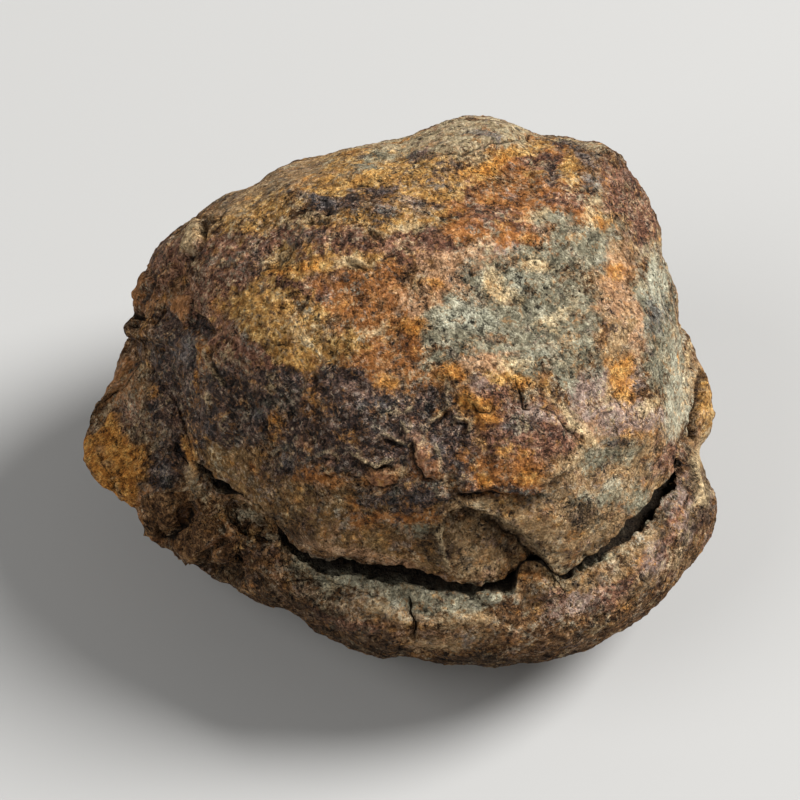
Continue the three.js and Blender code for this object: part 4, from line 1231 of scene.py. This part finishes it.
# Texture of the stone under its colours; sizes in mm. A pair is where a signal begins and is full, a
# third number is its strength
stoneGrain = {
    "mottleSize": 1.6,
    "speckSize": 0.5,
    "grainSize": 0.34,
    "dustSize": 0.17,
    "flakeSize": 0.62,         # small plates with crisp edges
    "flakeWarp": 0.9,
    "edgeSize": 1.1,
    "curlSize": 0.85,          # fine curled edges, lit on top and dark between
    "fleckSize": 0.8,
    "veinSize": 2.6,           # thin curled lines in the dark crust
    "glintSize": 0.4,          # pale specks painted as glints in it
    "calmSize": 6,             # where the grain is stronger or weaker
    "toneShares": (1.3, 0.85, 0.16, 0.14, 0.12),   # of mottle, speck, plates, grains and dust
    "raggedShares": (1.6, 0.6, 0.4),               # of speck, grains and dust in the borders
    "raggedEdge": 5,
    "border": (-0.75, 0.85),
    "shadeShares": (0.4, 0.6, 0.75),               # of plates, grains and dust
    "crests": (0.05, 0.42, 0.52, 0.85),            # width first
    "clefts": (0.045, 0.44, 0.54, 0.8),
    "pitGrains": (0.84, 0.88, 0.6),
    "pitFlecks": (0.44, 0.54),
    "lightFlecks": (0.6, 0.66, 0.4),
    "darkFlecks": (0.58, 0.64, 0.45),
    "stains": (0.56, 0.66, 0.5),
    "hollows": (0.1, 0.9, 0.7),
    "calmShare": 1.4,
    "leastGrain": 0.25,
    "darkest": 0.08,
    "veins": (0.02, 0.48, 0.6, 0.85),              # width first
    "glints": (0.86, 0.9, 0.7),
    "glintWhere": (0.42, 0.55),
    "ridgeWhere": (0.34, 0.46),
    "crackWander": 2.5,
    "cracks": (0.4, 1.3),
    "gapCover": 0.95,
    "shine": 0.17,
    "crustShine": 0.12,
    "maroonCrust": 0.35,       # how much the maroon counts as dark crust
    "plateBump": 0.3,
    "crackBump": 0.5,
    "curlBump": 0.36,
    "fineBump": 0.58,
    "grainBump": 0.12,
    "crackShadeColour": (0.009, 0.006, 0.004, 1),
    "ridgeColour": (0.46, 0.34, 0.19, 1),
    "veinColour": (0.4, 0.3, 0.2, 1),
    "glintColour": (0.24, 0.19, 0.15, 1),
    "stainColour": (0.26, 0.12, 0.035, 1),
}


class Nodes:
    # lays out shader nodes and joins them
    def __init__(self, name):
        self.material = bpy.data.materials.new(name)
        self.material.use_nodes = True
        self.tree = self.material.node_tree
        self.shader = self.tree.nodes["Principled BSDF"]
        self.count = 0

    def add(self, kind, inputs=(), **settings):
        node = self.tree.nodes.new(kind)
        column, row = divmod(self.count, 8)
        node.location = (-260 * (1 + column), -190 * row)
        self.count += 1
        for name, value in settings.items():
            setattr(node, name, value)
        for key, value in inputs:
            if isinstance(value, bpy.types.NodeSocket):
                self.tree.links.new(value, node.inputs[key])
            else:
                node.inputs[key].default_value = value
        return node

    def feed(self, socket, value):
        self.tree.links.new(value, self.shader.inputs[socket])

    def math(self, operation, a, b, clamp=False):
        return self.add("ShaderNodeMath", ((0, a), (1, b)), operation=operation, use_clamp=clamp).outputs[0]

    def times(self, a, b):
        return self.math("MULTIPLY", a, b)

    def plus(self, a, b):
        return self.math("ADD", a, b)

    def minus(self, a, b):
        return self.math("SUBTRACT", a, b)

    def most(self, a, b):
        return self.math("MAXIMUM", a, b)

    def step(self, value, low, high):
        inputs = (("Value", value), ("From Min", low), ("From Max", high))
        return self.add("ShaderNodeMapRange", inputs, interpolation_type="SMOOTHSTEP").outputs[0]

    def spots(self, value, low, high, strength):
        return self.times(self.step(value, low, high), strength)

    def thin(self, value, width):
        # lines where a noise crosses its middle
        away = self.math("ABSOLUTE", self.minus(value, 0.5), 0)
        return self.minus(1, self.step(away, width * 0.2, width))

    def total(self, start, *parts):
        # start plus each (value around a half, weight)
        value = start - sum(weight / 2 for part, weight in parts)
        for part, weight in parts:
            node = self.add("ShaderNodeMath", ((0, part), (1, weight), (2, value)), operation="MULTIPLY_ADD")
            value = node.outputs[0]
        return value

    def noise(self, place, size, detail, roughness, distortion=0.0):
        inputs = (("Vector", place), ("Scale", 1 / (size * mm)), ("Detail", detail), ("Roughness", roughness),
                  ("Distortion", distortion))
        return self.add("ShaderNodeTexNoise", inputs)

    def cells(self, place, size):
        return self.add("ShaderNodeTexVoronoi", (("Vector", place), ("Scale", 1 / (size * mm))))

    def split(self, colour):
        return self.add("ShaderNodeSeparateColor", ((0, colour),)).outputs

    def attribute(self, name):
        return self.add("ShaderNodeAttribute", attribute_name=name).outputs["Fac"]

    def tones(self, value, finish):
        node = self.add("ShaderNodeValToRGB", ((0, value),))
        ramp = node.color_ramp
        ramp.elements.new(0.5)
        spread = finish["spread"]
        for element, place, colour in zip(ramp.elements, (0.5 - 0.25 * spread, 0.5, 0.5 + 0.3 * spread),
                                          finish["tones"]):
            element.position = place
            element.color = (*colour, 1)
        return node.outputs[0]

    def blend(self, share, under, over):
        return self.add("ShaderNodeMix", ((0, share), (6, under), (7, over)), data_type="RGBA").outputs[2]

    def mix(self, share, under, over):
        return self.add("ShaderNodeMix", ((0, share), (2, under), (3, over))).outputs[0]


def layColours(nodes, tone, edges, ragged):
    # the finishes one over the other; crust says how much of the top one is dark crust
    base = finishes["base"]
    colour, rough, grainy, crust = nodes.tones(tone, base), base["rough"], base["grain"], 0
    crustShare = {"darkCrust": 1, "maroon": stoneGrain["maroonCrust"]}
    for index, layer in enumerate(layerOrder):
        finish = finishes[layer]
        field = nodes.total(0, (edges[index % 3], stoneGrain["raggedEdge"] * finish["edge"]))
        field = nodes.plus(nodes.plus(field, ragged), nodes.attribute(layer))
        share = nodes.step(field, *stoneGrain["border"])
        if "cover" in finish:
            share = nodes.times(share, finish["cover"])
        colour = nodes.blend(share, colour, nodes.tones(tone, finish))
        rough = nodes.mix(share, rough, finish["rough"])
        grainy = nodes.mix(share, grainy, finish["grain"])
        crust = nodes.mix(share, crust, crustShare.get(layer, 0))
    return colour, rough, grainy, crust


def makeCrust(name):
    nodes = Nodes(name)
    look = stoneGrain
    place = nodes.add("ShaderNodeTexCoord").outputs["Object"]
    mottle = nodes.noise(place, look["mottleSize"], 5, 0.7).outputs[0]
    speck = nodes.noise(place, look["speckSize"], 3, 0.65).outputs[0]
    calm = nodes.noise(place, look["calmSize"], 3, 0.6).outputs[0]
    edgeNoise = nodes.noise(place, look["edgeSize"], 4, 0.72).outputs[1]
    edges = nodes.split(edgeNoise)
    flecks = nodes.split(nodes.noise(place, look["fleckSize"], 3, 0.65, 0.9).outputs[1])
    curls = nodes.split(nodes.noise(place, look["curlSize"], 2, 0.6, 1.1).outputs[1])
    width, low, high, crestTone = look["crests"]
    crest = nodes.times(nodes.thin(curls[0], width), nodes.step(speck, low, high))
    width, low, high, cleftTone = look["clefts"]
    cleft = nodes.times(nodes.thin(curls[1], width), nodes.step(flecks[0], low, high))
    warp = (look["flakeWarp"] * mm,) * 3
    warped = nodes.add("ShaderNodeVectorMath", ((0, edgeNoise), (1, warp), (2, place)),
                       operation="MULTIPLY_ADD")
    plates = nodes.split(nodes.cells(warped.outputs[0], look["flakeSize"]).outputs["Color"])
    grainCells = nodes.cells(place, look["grainSize"])
    grainShade = nodes.split(grainCells.outputs["Color"])
    dustShade = nodes.split(nodes.cells(place, look["dustSize"]).outputs["Color"])

    # one signal picks the tone inside every finish
    signals = (mottle, speck, plates[0], grainShade[0], dustShade[0])
    tone = nodes.total(0.5, *zip(signals, look["toneShares"]))
    ragged = nodes.total(0, *zip((speck, grainShade[1], dustShade[1]), look["raggedShares"]))
    colour, rough, grainy, crust = layColours(nodes, tone, edges, ragged)

    # light and dark flecks, single grains and dust, painted light on the curled crests and painted shade in
    # their clefts and in the hollows of the relief
    shade = nodes.total(0, *zip((plates[1], grainShade[2], dustShade[2]), look["shadeShares"]))
    pit = nodes.times(nodes.spots(grainShade[1], *look["pitGrains"]),
                     nodes.step(flecks[2], *look["pitFlecks"]))
    shade = nodes.minus(shade, pit)
    shade = nodes.plus(shade, nodes.spots(flecks[0], *look["lightFlecks"]))
    shade = nodes.minus(shade, nodes.spots(flecks[1], *look["darkFlecks"]))
    shade = nodes.plus(shade, nodes.times(crest, crestTone))
    shade = nodes.minus(shade, nodes.times(cleft, cleftTone))
    grainy = nodes.times(grainy, nodes.total(1, (calm, look["calmShare"])))
    grainy = nodes.most(grainy, look["leastGrain"])
    shade = nodes.times(shade, grainy)
    # painted shade in the hollows of the fine relief
    deep = nodes.spots(nodes.attribute("hollow"), *look["hollows"])
    shade = nodes.plus(nodes.minus(shade, deep), 1)
    shade = nodes.most(shade, look["darkest"])
    colour = nodes.blend(nodes.spots(flecks[2], *look["stains"]), colour, look["stainColour"])

    # curled pale lines and pale specks painted as glints in the dark crust, pale crests on the ridges
    width, low, high, veinCover = look["veins"]
    vein = nodes.thin(nodes.noise(place, look["veinSize"], 3, 0.6, 0.5).outputs[0], width)
    vein = nodes.times(nodes.times(vein, crust), nodes.spots(edges[0], low, high, veinCover))
    glint = nodes.split(nodes.cells(place, look["glintSize"]).outputs["Color"])[0]
    glintPlace = nodes.times(crust, nodes.step(speck, *look["glintWhere"]))
    glint = nodes.times(nodes.spots(glint, *look["glints"]), glintPlace)
    pale = nodes.times(nodes.attribute("pale"), nodes.step(speck, *look["ridgeWhere"]))
    colour = nodes.blend(glint, colour, look["glintColour"])
    colour = nodes.blend(vein, colour, look["veinColour"])
    colour = nodes.blend(pale, colour, look["ridgeColour"])

    # painted shade in the cracks, in the holes and in the gap between the halves
    wander = nodes.total(0, (speck, look["crackWander"]))
    line = nodes.math("ABSOLUTE", nodes.plus(nodes.attribute("crackSide"), wander), 0)
    crack = nodes.minus(1, nodes.step(line, *look["cracks"]))
    crack = nodes.times(crack, nodes.attribute("crackNear"))
    gap = nodes.most(crack, nodes.attribute("inside"))
    colour = nodes.blend(nodes.times(gap, look["gapCover"]), colour, look["crackShadeColour"])
    colour = nodes.add("ShaderNodeVectorMath", ((0, colour), (3, shade)), operation="SCALE").outputs[0]
    nodes.feed("Base Color", colour)
    nodes.feed("Roughness", rough)
    nodes.feed("Specular IOR Level", nodes.total(look["shine"], (crust, look["crustShine"])))

    fine = nodes.noise(place, look["speckSize"], 3, 0.75).outputs[0]
    marks = nodes.minus(nodes.times(plates[1], look["plateBump"]),
                       nodes.times(crack, look["crackBump"]))
    curled = nodes.times(nodes.minus(crest, cleft), look["curlBump"])
    fine = nodes.plus(fine, nodes.plus(marks, curled))
    grainHeight = nodes.minus(1, grainCells.outputs["Distance"])
    strength = nodes.math("MULTIPLY", grainy, 1, clamp=True)
    small = nodes.add("ShaderNodeBump", (("Strength", strength), ("Distance", look["grainBump"] * mm),
                                         ("Height", grainHeight)))
    bump = nodes.add("ShaderNodeBump", (("Strength", strength), ("Distance", look["fineBump"] * mm),
                                        ("Height", fine), ("Normal", small.outputs[0])))
    nodes.feed("Normal", bump.outputs[0])
    return nodes.material


def fitToBox(meshes, low, high):
    # the whole stone keeps exactly the size of its solids
    everything = np.vstack([getPoints(mesh) for mesh in meshes])
    first, last = everything.min(0), everything.max(0)
    scale = (np.array(high) - np.array(low)) / (last - first)
    for mesh in meshes:
        setPoints(mesh, (getPoints(mesh) - first) * scale + np.array(low))


def finishHalf(half, mesh):
    mesh.materials.append(makeCrust("rustCrust" if half["side"] > 0 else "brownCrust"))
    for polygon in mesh.polygons:
        polygon.use_smooth = True
    piece = bpy.data.objects.new("stone_" + half["node"], mesh)
    bpy.context.scene.collection.objects.link(piece)
    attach(piece, "root")
    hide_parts(half["node"])


halves = (upperHalf, lowerHalf)
meshes = [shapeHalf(half) for half in halves]
for half, mesh in zip(halves, meshes):
    carveHalf(half, mesh)
fitToBox(meshes, cadBox[0], cadBox[1])
for half, mesh in zip(halves, meshes):
    finishHalf(half, mesh)
print("finished both halves")


# Metres and watts
studio = {
    "floorSize": 6,
    "floorColour": (0.435, 0.431, 0.42, 1),
    "keyPlace": (0.92, 0.2, 1),
    "keySize": 0.64,
    "keyPower": 33.5,
    "fillPlace": (-1, -0.5, 1),
    "fillSize": 1.2,
    "fillPower": 10,
    "roomLight": 0.2,
    "sensor": 36,              # mm
    "clipping": (0.01, 10),
}


def makeFloor():
    bm = bmesh.new()
    bmesh.ops.create_grid(bm, x_segments=1, y_segments=1, size=studio["floorSize"] / 2)
    mesh = bpy.data.meshes.new("floor")
    bm.to_mesh(mesh)
    bm.free()
    floor = bpy.data.objects.new("floor", mesh)
    bpy.context.scene.collection.objects.link(floor)
    nodes = Nodes("paleFloor")
    nodes.shader.inputs["Base Color"].default_value = studio["floorColour"]
    nodes.shader.inputs["Roughness"].default_value = 1
    nodes.shader.inputs["Specular IOR Level"].default_value = 0
    mesh.materials.append(nodes.material)


def makeLight(name, place, size, power):
    light = bpy.data.lights.new(name, "AREA")
    light.shape = "DISK"
    light.size = size
    light.energy = power
    lamp = bpy.data.objects.new(name, light)
    lamp.location = place
    aim = Vector(show["centre"]) * mm - Vector(place)
    lamp.rotation_euler = aim.to_track_quat("-Z", "Y").to_euler()
    bpy.context.scene.collection.objects.link(lamp)


def makeRoomLight():
    world = bpy.data.worlds.new("room")
    world.use_nodes = True
    world.node_tree.nodes["Background"].inputs["Strength"].default_value = studio["roomLight"]
    world.node_tree.nodes["Background"].inputs["Color"].default_value = (1, 1, 1, 1)
    bpy.context.scene.world = world


def makeCamera():
    lens = bpy.data.cameras.new("camera")
    lens.sensor_width = studio["sensor"]
    lens.lens = studio["sensor"] * show["distance"] / show["width"]
    lens.clip_start, lens.clip_end = studio["clipping"]
    camera = bpy.data.objects.new("camera", lens)
    right, up = show["offCentre"]
    place = faceCentre + faceOut * show["distance"] + faceUp * up + np.array((right, 0, 0))
    camera.location = Vector(place) * mm
    camera.rotation_euler = (math.radians(90 - show["elevation"]), 0, 0)
    bpy.context.scene.collection.objects.link(camera)
    bpy.context.scene.camera = camera


makeFloor()
makeLight("key", studio["keyPlace"], studio["keySize"], studio["keyPower"])
makeLight("fill", studio["fillPlace"], studio["fillSize"], studio["fillPower"])
makeRoomLight()
makeCamera()
bpy.context.scene.view_settings.view_transform = "Standard"
print("set up floor, lights and camera")
